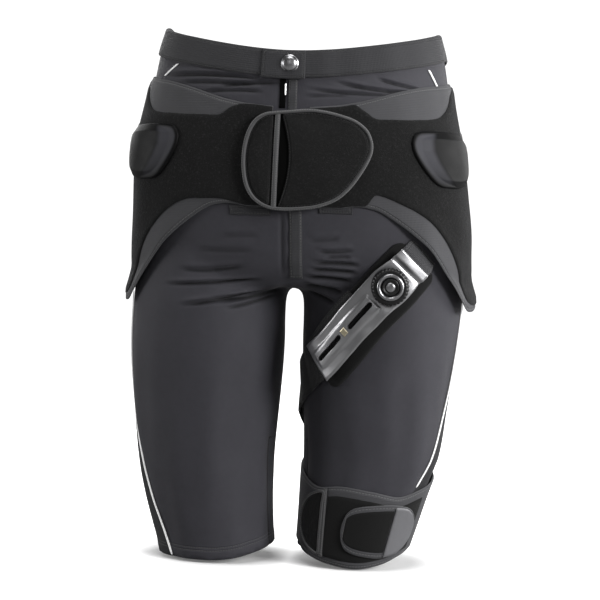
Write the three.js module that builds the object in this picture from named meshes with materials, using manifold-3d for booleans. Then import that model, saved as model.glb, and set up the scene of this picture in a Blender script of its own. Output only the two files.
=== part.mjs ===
// Hip abduction brace on its base shorts, shown worn: a hip belt with a front closure and two hip pads,
// a strap that spirals round the left thigh with a dial tensioner, and a cuff above the left knee.
// Millimetres, +Z up. The wearer faces -Y and their left is +X. The origin is the middle of the waist.
import * as THREE from "three";
import Module from "manifold-3d";

const wasm = await Module();
wasm.setup();

// Driving dimensions of the worn form
const hipWidth = 348;
const bellyDepth = 108;
const seatDepth = 128;
const crotchDrop = 240;
const hemDrop = 526;
const thighDepth = 180;
const legGap = 19;
const legSetBack = 6;
const hemRise = 14;

// Shorts
const clothWall = 1.6;
const waistFrontTop = 1;
const waistSideTop = 28;
const waistBackTop = -7;
const waistbandHeight = 28;
const waistbandWall = 2;
const tabWall = 1.4;
const tabReach = 30;
const tabFoot = 3;
const pipingWidth = 2.6;
const pipingWall = 1;
const seamGap = 0.5;
const flyWidth = 12.5;
const flyWall = 1;
const snapRadius = 8.8;
const snapHeight = 4;

// Layers that lie on each other keep this much air
const layerGap = 0.9;
const edgeGap = 0.5;

// Hip belt
const beltWall = 2.4;
const plushWall = 1.2;
const beltFrontGap = 18;
const beltBackGap = 0.15;
const beltLiftLeft = 9;
const beltLiftRight = 5.5;
const beltLiftReach = 60;

// Front closure
const closureTop = -58;
const closureBottom = -161;
const closureLeft = -47;
const closureRight = 82;
const closureWall = 1.6;
const flapWall = 1.6;
const bindingWidth = 3.6;
const bindingProud = 0.8;
const closureBandWidth = 5.4;

// Hip pads and the straps behind them
const hipPadAngle = 71.5;
const hipPadHeight = -104;
const hipPadWidth = 93;
const hipPadTall = 57;
const hipPadThick = 6.2;
const hipStrapTall = 42;
const hipStrapWall = 1.6;
const hipStrapEnd = 166;

// Thigh strap, its backing and the webbing that it hangs from
const backingWidth = 58;
const backingWall = 4.5;
const strapWidth = 46;
const strapWall = 2;
const webbingWidth = 38;
const webbingWall = 1.6;

// Tensioner plate
const plateLength = 142;
const plateWidth = 40;
const plateWall = 3.4;
const plateBarWidth = 10;
const plateBarProud = 2.6;
const slotWidth = 5.2;
const upperSlot = [60, 94];
const lowerSlot = [104, 134];
const markerLength = 5;
const markerProud = 1.2;

// Dial
const dialFromTop = 33;
const dialRadius = 19.5;
const dialBaseRadius = 18.6;
const dialBaseHeight = 2.6;
const dialGripHeight = 8.6;
const bezelRadius = 14.4;
const bezelHeight = 2.6;
const hubRadius = 8.8;
const hubHeight = 10.6;
const hubButtonRadius = 4.8;
const dialTeeth = 16;
const runningGap = 0.5;

// Knee cuff
const cuffWall = 2.8;
const cuffPlushWall = 1;
const cuffTabWall = 2;
const cuffGripWall = 1.6;
const cuffSeamWidth = 5.5;

// Half the hip width, and the leg's length below the crotch
const hipHalf = hipWidth / 2;
const legDrop = hemDrop - crotchDrop;

// Trunk sections: drop as a share of the crotch drop, half width and lean to the wearer's left as shares of
// half the hips, front as a share of the belly, back as a share of the seat, and how square the section is
const TRUNK = [
  { drop: -0.18, lean: 0, wide: 0.805, front: 0.86, back: 0.7, square: 2.2 },
  { drop: -0.12, lean: 0, wide: 0.815, front: 0.88, back: 0.72, square: 2.2 },
  { drop: 0, lean: 0, wide: 0.86, front: 0.926, back: 0.766, square: 2.2 },
  { drop: 0.19, lean: 0, wide: 0.905, front: 0.981, back: 0.844, square: 2.3 },
  { drop: 0.42, lean: 0.002, wide: 0.963, front: 1, back: 0.953, square: 2.4 },
  { drop: 0.71, lean: 0.028, wide: 0.994, front: 0.95, back: 1, square: 2.5 },
  { drop: 0.875, lean: 0.03, wide: 0.998, front: 0.88, back: 0.95, square: 2.5 },
  { drop: 0.96, lean: 0.03, wide: 0.98, front: 0.78, back: 0.82, square: 2.5 },
  { drop: 1, lean: 0.03, wide: 0.94, front: 0.66, back: 0.64, square: 2.5 },
];

// Leg sections: drop below the crotch as a share of the leg, outer side and what the left has more of it as
// shares of half the hips, inner side as a share of half the leg gap, half depth as a share of half the
// thigh, and the set back of the middle
const LEG = [
  { drop: -0.25, outer: 0.965, lean: 0.03, inner: 0.86, deep: 1.02, back: 1 },
  { drop: -0.14, outer: 0.98, lean: 0.028, inner: 0.9, deep: 1.02, back: 1 },
  { drop: 0, outer: 1, lean: 0.023, inner: 0.95, deep: 1, back: 1 },
  { drop: 0.06, outer: 1.003, lean: 0.018, inner: 1, deep: 1, back: 1 },
  { drop: 0.24, outer: 0.99, lean: 0.001, inner: 1.05, deep: 0.955, back: 0.85 },
  { drop: 0.43, outer: 0.958, lean: -0.007, inner: 1.42, deep: 0.89, back: 0.7 },
  { drop: 0.61, outer: 0.924, lean: -0.008, inner: 1.72, deep: 0.82, back: 0.5 },
  { drop: 0.7, outer: 0.887, lean: -0.022, inner: 1.7, deep: 0.79, back: 0.42 },
  { drop: 0.8, outer: 0.84, lean: -0.031, inner: 1.63, deep: 0.755, back: 0.35 },
  { drop: 0.94, outer: 0.77, lean: -0.033, inner: 1.4, deep: 0.705, back: 0.15 },
  { drop: 1.03, outer: 0.729, lean: -0.033, inner: 1.26, deep: 0.68, back: 0 },
];

// Side seam: the angle round the leg, from the front towards the outside, in degrees
const SEAM = [
  { drop: -0.2, angle: 30 },
  { drop: 0.03, angle: 38 },
  { drop: 0.055, angle: 45 },
  { drop: 0.11, angle: 62 },
  { drop: 0.19, angle: 72 },
  { drop: 0.32, angle: 77 },
  { drop: 0.5, angle: 79 },
  { drop: 0.63, angle: 79 },
  { drop: 0.675, angle: 77 },
  { drop: 0.725, angle: 73 },
  { drop: 0.775, angle: 69 },
  { drop: 0.825, angle: 63 },
  { drop: 0.875, angle: 55 },
  { drop: 0.94, angle: 47 },
  { drop: 1.05, angle: 38 },
];

// Hip belt edges by the angle round the trunk from the front, heights as shares of the crotch drop:
// the base's top and foot, and the top and foot of the plush face on it
const BELT = [
  { angle: 3, top: -0.238, foot: -0.655, plushTop: -0.242, plushFoot: -0.651 },
  { angle: 24, top: -0.222, foot: -0.655, plushTop: -0.226, plushFoot: -0.651 },
  { angle: 30, top: -0.212, foot: -0.648, plushTop: -0.24, plushFoot: -0.638 },
  { angle: 35, top: -0.202, foot: -0.647, plushTop: -0.272, plushFoot: -0.628 },
  { angle: 42, top: -0.182, foot: -0.665, plushTop: -0.288, plushFoot: -0.628 },
  { angle: 50, top: -0.158, foot: -0.722, plushTop: -0.288, plushFoot: -0.635 },
  { angle: 57, top: -0.14, foot: -0.795, plushTop: -0.282, plushFoot: -0.676 },
  { angle: 63, top: -0.128, foot: -0.873, plushTop: -0.272, plushFoot: -0.736 },
  { angle: 69, top: -0.12, foot: -0.955, plushTop: -0.25, plushFoot: -0.82 },
  { angle: 75, top: -0.112, foot: -1.035, plushTop: -0.205, plushFoot: -0.94 },
  { angle: 80, top: -0.106, foot: -1.08, plushTop: -0.15, plushFoot: -1.035 },
  { angle: 90, top: -0.096, foot: -1.07, plushTop: -0.112, plushFoot: -1.05 },
  { angle: 105, top: -0.084, foot: -1.01, plushTop: -0.098, plushFoot: -0.995 },
  { angle: 120, top: -0.093, foot: -0.93, plushTop: -0.107, plushFoot: -0.915 },
  { angle: 140, top: -0.122, foot: -0.85, plushTop: -0.136, plushFoot: -0.835 },
  { angle: 160, top: -0.145, foot: -0.8, plushTop: -0.159, plushFoot: -0.785 },
  { angle: 180, top: -0.157, foot: -0.785, plushTop: -0.171, plushFoot: -0.77 },
];

// Front closure outline: across as a share from its left to its right edge, up as a share from foot to top
const CLOSURE = [
  { across: 0.26, up: 0.97 },
  { across: 0.38, up: 0.985 },
  { across: 0.51, up: 1 },
  { across: 0.64, up: 0.985 },
  { across: 0.76, up: 0.95 },
  { across: 0.86, up: 0.905 },
  { across: 0.945, up: 0.825 },
  { across: 0.987, up: 0.73 },
  { across: 1, up: 0.64 },
  { across: 0.985, up: 0.54 },
  { across: 0.93, up: 0.4 },
  { across: 0.845, up: 0.24 },
  { across: 0.74, up: 0.115 },
  { across: 0.6, up: 0.04 },
  { across: 0.46, up: 0.01 },
  { across: 0.32, up: 0 },
  { across: 0.2, up: 0.02 },
  { across: 0.095, up: 0.1 },
  { across: 0.03, up: 0.23 },
  { across: 0.003, up: 0.4 },
  { across: 0.003, up: 0.58 },
  { across: 0.03, up: 0.75 },
  { across: 0.085, up: 0.88 },
  { across: 0.165, up: 0.95 },
];

// The seam band of the closure: the middle of its top and foot, as shares across
const closureBandTop = 0.268;
const closureBandFoot = 0.252;
// How far the right flap's free edge bows away from the band, as a share across
const flapBow = 0.1;

// Hip pad outline: along to the back as a share of half its width, up as a share of half its height
const HIP_PAD = [
  { along: -0.82, up: 0.93 },
  { along: -0.45, up: 1 },
  { along: 0.05, up: 1 },
  { along: 0.6, up: 0.95 },
  { along: 0.9, up: 0.78 },
  { along: 1, up: 0.4 },
  { along: 0.98, up: 0 },
  { along: 0.87, up: -0.5 },
  { along: 0.65, up: -0.85 },
  { along: 0.3, up: -0.99 },
  { along: -0.05, up: -1 },
  { along: -0.3, up: -0.97 },
  { along: -0.48, up: -0.82 },
  { along: -0.67, up: -0.5 },
  { along: -0.85, up: -0.1 },
  { along: -0.97, up: 0.3 },
  { along: -0.97, up: 0.66 },
];

// Thigh strap route round the left leg: angle from the front towards the outside, drop as a share of the leg
const ROUTE = [
  { angle: 47, drop: -0.26 },
  { angle: 20.5, drop: -0.112 },
  { angle: -10, drop: 0.074 },
  { angle: -41, drop: 0.26 },
  { angle: -66, drop: 0.33 },
  { angle: -92, drop: 0.39 },
  { angle: -130, drop: 0.52 },
  { angle: -165, drop: 0.67 },
  { angle: -190, drop: 0.77 },
];

// Knee cuff edges by the angle round the leg, drops as shares of the leg
const CUFF = [
  { angle: -180, top: 0.61, foot: 0.935 },
  { angle: -135, top: 0.61, foot: 0.93 },
  { angle: -100, top: 0.635, foot: 0.93 },
  { angle: -75, top: 0.675, foot: 0.935 },
  { angle: -56, top: 0.702, foot: 0.952 },
  { angle: -40, top: 0.718, foot: 0.982 },
  { angle: -18, top: 0.708, foot: 1.005 },
  { angle: 9, top: 0.722, foot: 1.02 },
  { angle: 34, top: 0.742, foot: 1.005 },
  { angle: 56, top: 0.722, foot: 0.978 },
  { angle: 90, top: 0.695, foot: 0.953 },
  { angle: 135, top: 0.645, foot: 0.935 },
  { angle: 180, top: 0.61, foot: 0.935 },
];

// Cuff flap outline: angle round the leg, drop as a share of the leg
const CUFF_FLAP = [
  { angle: -34, drop: 0.735 },
  { angle: -41, drop: 0.742 },
  { angle: -50, drop: 0.765 },
  { angle: -57, drop: 0.805 },
  { angle: -58.5, drop: 0.845 },
  { angle: -55, drop: 0.885 },
  { angle: -47, drop: 0.918 },
  { angle: -38, drop: 0.935 },
  { angle: -34, drop: 0.925 },
  { angle: -34, drop: 0.86 },
  { angle: -34, drop: 0.8 },
];

// Closure tab of the cuff and the grip on it: top and foot as shares of the leg, by the angle round it
const CUFF_TAB = [
  { angle: -10.5, top: 0.845, foot: 0.868 },
  { angle: -9, top: 0.812, foot: 0.9 },
  { angle: -5, top: 0.788, foot: 0.93 },
  { angle: 1, top: 0.777, foot: 0.947 },
  { angle: 8, top: 0.772, foot: 0.956 },
  { angle: 16, top: 0.769, foot: 0.962 },
  { angle: 26, top: 0.768, foot: 0.966 },
  { angle: 36, top: 0.773, foot: 0.963 },
  { angle: 45, top: 0.783, foot: 0.954 },
  { angle: 53, top: 0.803, foot: 0.935 },
  { angle: 58, top: 0.832, foot: 0.905 },
  { angle: 60, top: 0.857, foot: 0.88 },
];
const CUFF_GRIP = [
  { angle: 30.5, top: 0.777, foot: 0.961 },
  { angle: 37, top: 0.78, foot: 0.957 },
  { angle: 44, top: 0.789, foot: 0.948 },
  { angle: 50, top: 0.808, foot: 0.93 },
  { angle: 54.5, top: 0.832, foot: 0.905 },
  { angle: 56.5, top: 0.855, foot: 0.88 },
];

const rad = THREE.MathUtils.degToRad;
const range = (count) => [...Array(count).keys()];

// A table's value between its rows, on a smooth curve through them
function along(table, key, place, value) {
  let i = table.findIndex((row) => row[key] >= place);
  if (i < 0) i = table.length - 1;
  i = Math.max(1, i);
  const before = table[Math.max(0, i - 2)];
  const a = table[i - 1];
  const b = table[i];
  const after = table[Math.min(table.length - 1, i + 1)];
  const span = b[key] - a[key];
  const t = THREE.MathUtils.clamp((place - a[key]) / span, 0, 1);
  const slopeA = ((b[value] - before[value]) / (b[key] - before[key])) * span;
  const slopeB = ((after[value] - a[value]) / (after[key] - a[key])) * span;
  const t2 = t * t;
  const t3 = t2 * t;
  return (
    (2 * t3 - 3 * t2 + 1) * a[value] + (t3 - 2 * t2 + t) * slopeA +
    (3 * t2 - 2 * t3) * b[value] + (t3 - t2) * slopeB
  );
}

// Radius of the trunk from its middle, at an angle from the front
function trunkRadius(angle, z) {
  const drop = -z / crotchDrop;
  const half = hipHalf * along(TRUNK, "drop", drop, "wide");
  const ahead = bellyDepth * along(TRUNK, "drop", drop, "front");
  const behind = seatDepth * along(TRUNK, "drop", drop, "back");
  const n = along(TRUNK, "drop", drop, "square");
  const across = Math.abs(Math.sin(angle)) / half;
  const depth = Math.abs(Math.cos(angle)) / (Math.cos(angle) > 0 ? ahead : behind);
  return (across ** n + depth ** n) ** (-1 / n);
}

// How far the trunk's middle stands to the wearer's left
const trunkMiddle = (z) => hipHalf * along(TRUNK, "drop", -z / crotchDrop, "lean");

function trunkPoint(angle, z, lift) {
  const r = trunkRadius(angle, z) + lift;
  return new THREE.Vector3(trunkMiddle(z) + r * Math.sin(angle), -r * Math.cos(angle), z);
}

// One level of a leg: the middle of its section and its half width and half depth. side is 1 for the left.
function legSection(side, z) {
  const drop = (-z - crotchDrop) / legDrop;
  const outer = hipHalf * (along(LEG, "drop", drop, "outer") + side * along(LEG, "drop", drop, "lean"));
  const inner = (legGap / 2) * along(LEG, "drop", drop, "inner");
  return {
    middle: (outer + inner) / 2,
    back: legSetBack * along(LEG, "drop", drop, "back"),
    wide: (outer - inner) / 2,
    deep: (thighDepth / 2) * along(LEG, "drop", drop, "deep"),
  };
}

// A point on a leg. The angle runs from the front towards the outside.
function legPoint(side, angle, z, lift) {
  const s = legSection(side, z);
  const r = 1 / Math.hypot(Math.sin(angle) / s.wide, Math.cos(angle) / s.deep) + lift;
  const x = s.middle + r * Math.sin(angle);
  return new THREE.Vector3(side * x, s.back - r * Math.cos(angle), z);
}

// Radius from the trunk's middle to the outer side of a leg, or 0 where the ray misses it
function legReach(angle, z) {
  const side = Math.sin(angle) < 0 ? -1 : 1;
  const s = legSection(side, z);
  const away = s.middle - side * trunkMiddle(Math.max(z, -crotchDrop));
  const ux = Math.abs(Math.sin(angle));
  const uy = -Math.cos(angle);
  const a = (ux / s.wide) ** 2 + (uy / s.deep) ** 2;
  const b = (ux * away) / s.wide ** 2 + (uy * s.back) / s.deep ** 2;
  const c = (away / s.wide) ** 2 + (s.back / s.deep) ** 2 - 1;
  const root = b * b - a * c;
  return root > 0 ? (b + Math.sqrt(root)) / a : 0;
}

// A point on trunk and legs taken together, which the belt lies on
function hullPoint(angle, z, lift) {
  const legTop = -crotchDrop - LEG[0].drop * legDrop;
  const leg = z < legTop ? legReach(angle, z) : 0;
  const height = Math.max(z, -crotchDrop);
  const r = Math.max(trunkRadius(angle, height), leg) + lift;
  return new THREE.Vector3(trunkMiddle(height) + r * Math.sin(angle), -r * Math.cos(angle), z);
}

// A solid from points and triangles, turned right side out
function solid(points, triangles) {
  const vertProperties = new Float32Array(points.flatMap((p) => [p.x, p.y, p.z]));
  const make = (list) => {
    const triVerts = new Uint32Array(list);
    return new wasm.Manifold(new wasm.Mesh({ numProp: 3, vertProperties, triVerts }));
  };
  const made = make(triangles.flat());
  return made.volume() > 0 ? made : make(triangles.flatMap(([a, b, c]) => [a, c, b]));
}

const quad = (a, b, c, d) => [[a, b, c], [a, c, d]];

// A closed skin through rings of points, each ring with as many points, closed round and capped at both ends
function loft(rings) {
  const n = rings[0].length;
  const points = rings.flat();
  const triangles = [];
  for (let i = 0; i + 1 < rings.length; i++)
    for (let j = 0; j < n; j++) {
      const k = (j + 1) % n;
      triangles.push(...quad(i * n + j, i * n + k, (i + 1) * n + k, (i + 1) * n + j));
    }
  const cap = (first, flip) => {
    const middle = points.length;
    const ring = points.slice(first, first + n);
    points.push(ring.reduce((sum, p) => sum.add(p), new THREE.Vector3()).divideScalar(n));
    for (let j = 0; j < n; j++) {
      const k = (j + 1) % n;
      triangles.push(flip ? [middle, first + k, first + j] : [middle, first + j, first + k]);
    }
  };
  cap(0, true);
  cap((rings.length - 1) * n, false);
  return solid(points, triangles);
}

// A wall between two grids of points, each a list of stations with as many rows. A loop of stations is
// closed round, and any other is closed at its ends.
function gridWall(inner, outer, loop = false) {
  const count = inner.length;
  const m = inner[0].length;
  const rows = m - 1;
  const index = (face, i, j) => face * count * m + (i % count) * m + j;
  const triangles = [];
  const steps = loop ? count : count - 1;
  for (let i = 0; i < steps; i++) {
    const k = i + 1;
    for (let j = 0; j < rows; j++) {
      triangles.push(...quad(index(1, i, j), index(1, k, j), index(1, k, j + 1), index(1, i, j + 1)));
      triangles.push(...quad(index(0, i, j), index(0, i, j + 1), index(0, k, j + 1), index(0, k, j)));
    }
    triangles.push(...quad(index(0, i, 0), index(0, k, 0), index(1, k, 0), index(1, i, 0)));
    triangles.push(...quad(index(1, i, rows), index(1, k, rows), index(0, k, rows), index(0, i, rows)));
  }
  const end = count - 1;
  if (!loop)
    for (let j = 0; j < rows; j++) {
      triangles.push(...quad(index(0, 0, j), index(1, 0, j), index(1, 0, j + 1), index(0, 0, j + 1)));
      const k = j + 1;
      triangles.push(...quad(index(1, end, j), index(0, end, j), index(0, end, k), index(1, end, k)));
    }
  return solid([...inner.flat(), ...outer.flat()], triangles);
}

// Points over stations, which hold u and the low and high v there. at(u, v, lift) gives a point.
function grid(at, stations, rows, lift) {
  const liftAt = typeof lift === "function" ? lift : () => lift;
  return stations.map(({ u, low, high }) =>
    range(rows + 1).map((j) => {
      const v = low + ((high - low) * j) / rows;
      return at(u, v, liftAt(u, v));
    }),
  );
}
const wall = (at, stations, rows, inner, outer, loop) =>
  gridWall(grid(at, stations, rows, inner), grid(at, stations, rows, outer), loop);

// An outline moved in by a distance, corner by corner
function inset(outline, distance) {
  const n = outline.length;
  const crossed = (p, q) => p[0] * q[1] - q[0] * p[1];
  const turn = Math.sign(outline.reduce((sum, p, i) => sum + crossed(p, outline[(i + 1) % n]), 0));
  return outline.map((p, i) => {
    const before = outline[(i + n - 1) % n];
    const after = outline[(i + 1) % n];
    const dx = after[0] - before[0];
    const dy = after[1] - before[1];
    const length = Math.hypot(dx, dy);
    return [p[0] - (turn * distance * dy) / length, p[1] + (turn * distance * dx) / length];
  });
}

const middleOf = (outline) => [0, 1].map((k) => outline.reduce((sum, p) => sum + p[k], 0) / outline.length);

function shrink(outline, share) {
  const middle = middleOf(outline);
  return outline.map((p) => p.map((x, k) => middle[k] + (x - middle[k]) * share));
}

// A pad over a star-shaped outline: its foot lies at the first lift, and each step moves in and up
function pad(at, outline, foot, steps) {
  const top = steps[steps.length - 1];
  const topOutline = inset(outline, top.inset);
  const rings = [
    { shape: shrink(outline, 0.06), lift: foot },
    { shape: shrink(outline, 0.4), lift: foot },
    { shape: shrink(outline, 0.72), lift: foot },
    { shape: outline, lift: foot },
    ...steps.map((step) => ({ shape: inset(outline, step.inset), lift: step.lift })),
    { shape: shrink(topOutline, 0.72), lift: top.lift },
    { shape: shrink(topOutline, 0.4), lift: top.lift },
    { shape: shrink(topOutline, 0.06), lift: top.lift },
  ];
  return loft(rings.map((ring) => ring.shape.map(([u, v]) => at(u, v, ring.lift))));
}

// A closed strip round an outline, with a square section
function binding(at, outline, width, foot, top) {
  const inner = inset(outline, width);
  const section = [
    [outline, foot],
    [outline, top],
    [inner, top],
    [inner, foot],
  ];
  const n = outline.length;
  const points = section.flatMap(([shape, lift]) => shape.map(([u, v]) => at(u, v, lift)));
  const triangles = [];
  for (const s of range(4))
    for (const j of range(n)) {
      const k = (j + 1) % n;
      const next = ((s + 1) % 4) * n;
      triangles.push(...quad(s * n + j, s * n + k, next + k, next + j));
    }
  return solid(points, triangles);
}

const brace = new THREE.Group();
const finishes = {
  knit: new THREE.MeshStandardMaterial({ color: 0x35353a, roughness: 0.8 }),
  band: new THREE.MeshStandardMaterial({ color: 0x2b2b2e, roughness: 0.85 }),
  plush: new THREE.MeshStandardMaterial({ color: 0x121212, roughness: 1 }),
  laminate: new THREE.MeshStandardMaterial({ color: 0x47474c, roughness: 0.8 }),
  binding: new THREE.MeshStandardMaterial({ color: 0x4a4a4c, roughness: 0.8 }),
  reflective: new THREE.MeshStandardMaterial({ color: 0xe8e8e6, roughness: 0.4 }),
  moulded: new THREE.MeshStandardMaterial({ color: 0x232326, roughness: 0.5 }),
  webbing: new THREE.MeshStandardMaterial({ color: 0x3a3a3f, roughness: 0.8 }),
  gunmetal: new THREE.MeshStandardMaterial({ color: 0x7d7d80, roughness: 0.3, metalness: 0.9 }),
  rubber: new THREE.MeshStandardMaterial({ color: 0x0d0d0e, roughness: 0.6 }),
  steel: new THREE.MeshStandardMaterial({ color: 0xb9b9bc, roughness: 0.25, metalness: 1 }),
  brass: new THREE.MeshStandardMaterial({ color: 0xd9c89a, roughness: 0.35, metalness: 0.8 }),
};

// The named mesh of a solid, with a material of its own
function add(name, made, finish) {
  const mesh = made.getMesh();
  const geometry = new THREE.BufferGeometry();
  geometry.setAttribute("position", new THREE.BufferAttribute(mesh.vertProperties, 3));
  geometry.setIndex(new THREE.BufferAttribute(mesh.triVerts, 1));
  geometry.computeVertexNormals();
  const piece = new THREE.Mesh(geometry, finishes[finish].clone());
  piece.name = name;
  brace.add(piece);
}

// Height of the waist's edge, which dips in front
function waistTop(angle) {
  const c = Math.cos(angle);
  const low = c > 0 ? waistFrontTop : waistBackTop;
  return low + (waistSideTop - low) * (1 - Math.abs(c));
}

// Height of a leg's hem, which rises towards the inside
const hemHeight = (angle) => -hemDrop + hemRise * Math.max(0, -Math.sin(angle)) ** 2;

// The worn form as one solid, with its skin moved out by lift, and its ends lengthened by reach
const trunkSides = 36;
const legSides = 24;
const trunkLevels = [0, 0.15, 0.3, 0.5, 0.72, 0.9, 1];
const legLevels = [-0.16, 0.06, 0.25, 0.43, 0.61, 0.8];
const crotchWall = -crotchDrop;
function form(lift, waistReach, hemReach) {
  const trunk = loft(
    trunkLevels.map((level) =>
      range(trunkSides).map((i) => {
        const angle = rad((360 * i) / trunkSides);
        const top = waistTop(angle) + waistReach;
        return trunkPoint(angle, top + (crotchWall - lift - top) * level, lift);
      }),
    ),
  );
  const legs = [1, -1].map((side) =>
    loft([
      ...legLevels.map((level) => {
        const height = -crotchDrop - legDrop * level;
        return range(legSides).map((i) => legPoint(side, rad((360 * i) / legSides), height, lift));
      }),
      range(legSides).map((i) => {
        const angle = rad((360 * i) / legSides);
        return legPoint(side, angle, hemHeight(angle) - hemReach, lift);
      }),
    ]),
  );
  return trunk.add(legs[0]).add(legs[1]);
}

// A block of space between two heights, from one side to another
function block(low, high, from, to) {
  const corners = [
    [from, -hipWidth],
    [to, -hipWidth],
    [to, hipWidth],
    [from, hipWidth],
  ];
  return loft([low, high].map((z) => corners.map(([x, y]) => new THREE.Vector3(x, y, z))));
}

// Shorts: a hollow shell, open at the waist and at both hems, parted into the seat and the two legs
const waistTuck = 2;
const skin = form(0, -waistTuck, 0).subtract(form(-clothWall, waistTuck, waistTuck));
const legTop = -crotchDrop - 2 * clothWall;
add("shorts_seat", skin.intersect(block(legTop + seamGap / 2, hemDrop, -hipWidth, hipWidth)), "knit");
add("shorts_leg_left", skin.intersect(block(-2 * hemDrop, legTop - seamGap / 2, 0, hipWidth)), "knit");
add("shorts_leg_right", skin.intersect(block(-2 * hemDrop, legTop - seamGap / 2, -hipWidth, 0)), "knit");

// Waistband, its front tab and the snap
const bandInner = layerGap;
const bandOuter = bandInner + waistbandWall;
const ringStations = range(trunkSides).map((i) => {
  const angle = rad((360 * i) / trunkSides);
  return { u: angle, low: waistTop(angle) - waistbandHeight, high: waistTop(angle) };
});
add("waistband", wall(trunkPoint, ringStations, 1, bandInner, bandOuter, true), "band");

// Angle round the trunk at a distance along it from a first angle, at one height
function angleAlong(first, distance, z) {
  const step = rad(0.5) * Math.sign(distance);
  let angle = first;
  let left = Math.abs(distance);
  while (left > 0) {
    const length = trunkPoint(angle, z, 0).distanceTo(trunkPoint(angle + step, z, 0));
    angle += step * Math.min(1, left / length);
    left -= length;
  }
  return angle;
}

const tabInner = bandOuter + layerGap;
const tabStations = range(5).map((i) => {
  const angle = angleAlong(0, -tabReach + (tabReach + tabFoot + snapRadius) * (i / 4), waistFrontTop);
  const top = waistTop(angle);
  return { u: angle, low: top - waistbandHeight, high: top };
});
add("waistband_tab", wall(trunkPoint, tabStations, 1, tabInner, tabInner + tabWall), "band");

// A round body on a frame: profile rows are [radius, height], closed on the axis
function turned(profile, sides, frame, radiusOf = (r) => r) {
  const rings = profile.map(([r, h]) =>
    range(sides).map((i) => {
      const angle = (2 * Math.PI * i) / sides;
      const reach = radiusOf(r, i, h);
      return frame.origin.clone()
        .addScaledVector(frame.side, reach * Math.cos(angle))
        .addScaledVector(frame.up, reach * Math.sin(angle))
        .addScaledVector(frame.out, h);
    }),
  );
  return loft(rings);
}
const snapAt = waistFrontTop - waistbandHeight / 2;
const snapFoot = tabInner + tabWall + 2.6 * edgeGap;
const snapFrame = {
  origin: trunkPoint(angleAlong(0, -tabFoot, snapAt), snapAt, snapFoot),
  side: new THREE.Vector3(1, 0, 0),
  up: new THREE.Vector3(0, 0, 1),
  out: new THREE.Vector3(0, -1, 0),
};
const snapProfile = [
  [snapRadius, 0],
  [snapRadius, snapHeight * 0.25],
  [snapRadius * 0.86, snapHeight * 0.62],
  [snapRadius * 0.5, snapHeight * 0.92],
  [snapRadius * 0.1, snapHeight],
];
add("snap_cap", turned(snapProfile, 16, snapFrame), "steel");

// Fly: a strip down the front seam, under the belt
const flyInner = edgeGap + 0.5;
const flyTop = waistFrontTop - waistbandHeight - edgeGap;
const flyFoot = -crotchDrop * 0.95;
const flyShift = 1.5;
const flyLean = 0.035;
const flyStations = [-0.5, 0.5].map((share) => ({ u: share * flyWidth, low: flyFoot, high: flyTop }));
const onFly = (u, z, lift) => trunkPoint(angleAlong(0, u + flyShift + flyLean * (flyTop - z), z), z, lift);
add("fly", wall(onFly, flyStations, 12, flyInner, flyInner + flyWall), "knit");

// Hip belt: a base and a plush face on each side, lifted off the thigh along its foot
const beltInner = 1.5 * layerGap;
const plushInner = beltInner + beltWall + edgeGap;
const plushOuter = plushInner + plushWall;
const beltStep = 360 / trunkSides;
function sharedAngles(first, last) {
  const even = range(trunkSides).map((i) => i * beltStep);
  return [first, ...even.filter((angle) => angle >= first + 1 && angle < last - 1), last];
}
function beltStations(side, first, low, high) {
  return sharedAngles(first, 180 - beltBackGap).map((angle) => ({
    u: side * rad(angle),
    low: crotchDrop * along(BELT, "angle", angle, low),
    high: crotchDrop * along(BELT, "angle", angle, high),
  }));
}
const beltFirst = THREE.MathUtils.radToDeg(angleAlong(0, beltFrontGap, closureTop));
function beltLift(u, z) {
  const angle = Math.abs(THREE.MathUtils.radToDeg(u));
  const foot = crotchDrop * along(BELT, "angle", angle, "foot");
  const near = THREE.MathUtils.clamp(1 - (z - foot) / beltLiftReach, 0, 1);
  const low = THREE.MathUtils.smoothstep(-foot, 0.66 * crotchDrop, 0.85 * crotchDrop);
  return (u > 0 ? beltLiftLeft : beltLiftRight) * near * near * low;
}

// A column of the base's grid, cut to the plush's own foot and top along its straight edges
const beltRows = 5;
function trim(column, whole, part) {
  const place = (v) => ((v - whole.low) / (whole.high - whole.low)) * beltRows;
  const low = place(part.low);
  const high = place(part.high);
  return column.map((p, j) => {
    let t = THREE.MathUtils.clamp(j, low + 0.2 * j, high - 0.2 * (beltRows - j));
    if (j === 0) t = low;
    if (j === beltRows) t = high;
    const i = Math.min(beltRows - 1, Math.floor(t));
    return column[i].clone().lerp(column[i + 1], t - i);
  });
}
for (const side of [1, -1]) {
  const name = side > 0 ? "left" : "right";
  const lifted = (lift) => (u, v) => lift + beltLift(u, v);
  const base = beltStations(side, beltFirst, "foot", "top");
  const face = beltStations(side, beltFirst, "plushFoot", "plushTop");
  const sheet = wall(hullPoint, base, beltRows, lifted(beltInner), lifted(beltInner + beltWall));
  add(`belt_base_${name}`, sheet, "laminate");
  const whole = (lift) => grid(hullPoint, base, beltRows, lifted(lift));
  const trimmed = (lift) => whole(lift).map((column, i) => trim(column, base[i], face[i]));
  add(`belt_plush_${name}`, gridWall(trimmed(plushInner), trimmed(plushOuter)), "plush");
}

// Front closure: a base, two flaps, the binding round them and the seam band between them
const closureWide = closureRight - closureLeft;
const closureTall = closureTop - closureBottom;
const closureFoot = plushOuter + edgeGap;
const flapFoot = closureFoot + closureWall + edgeGap;

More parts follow.
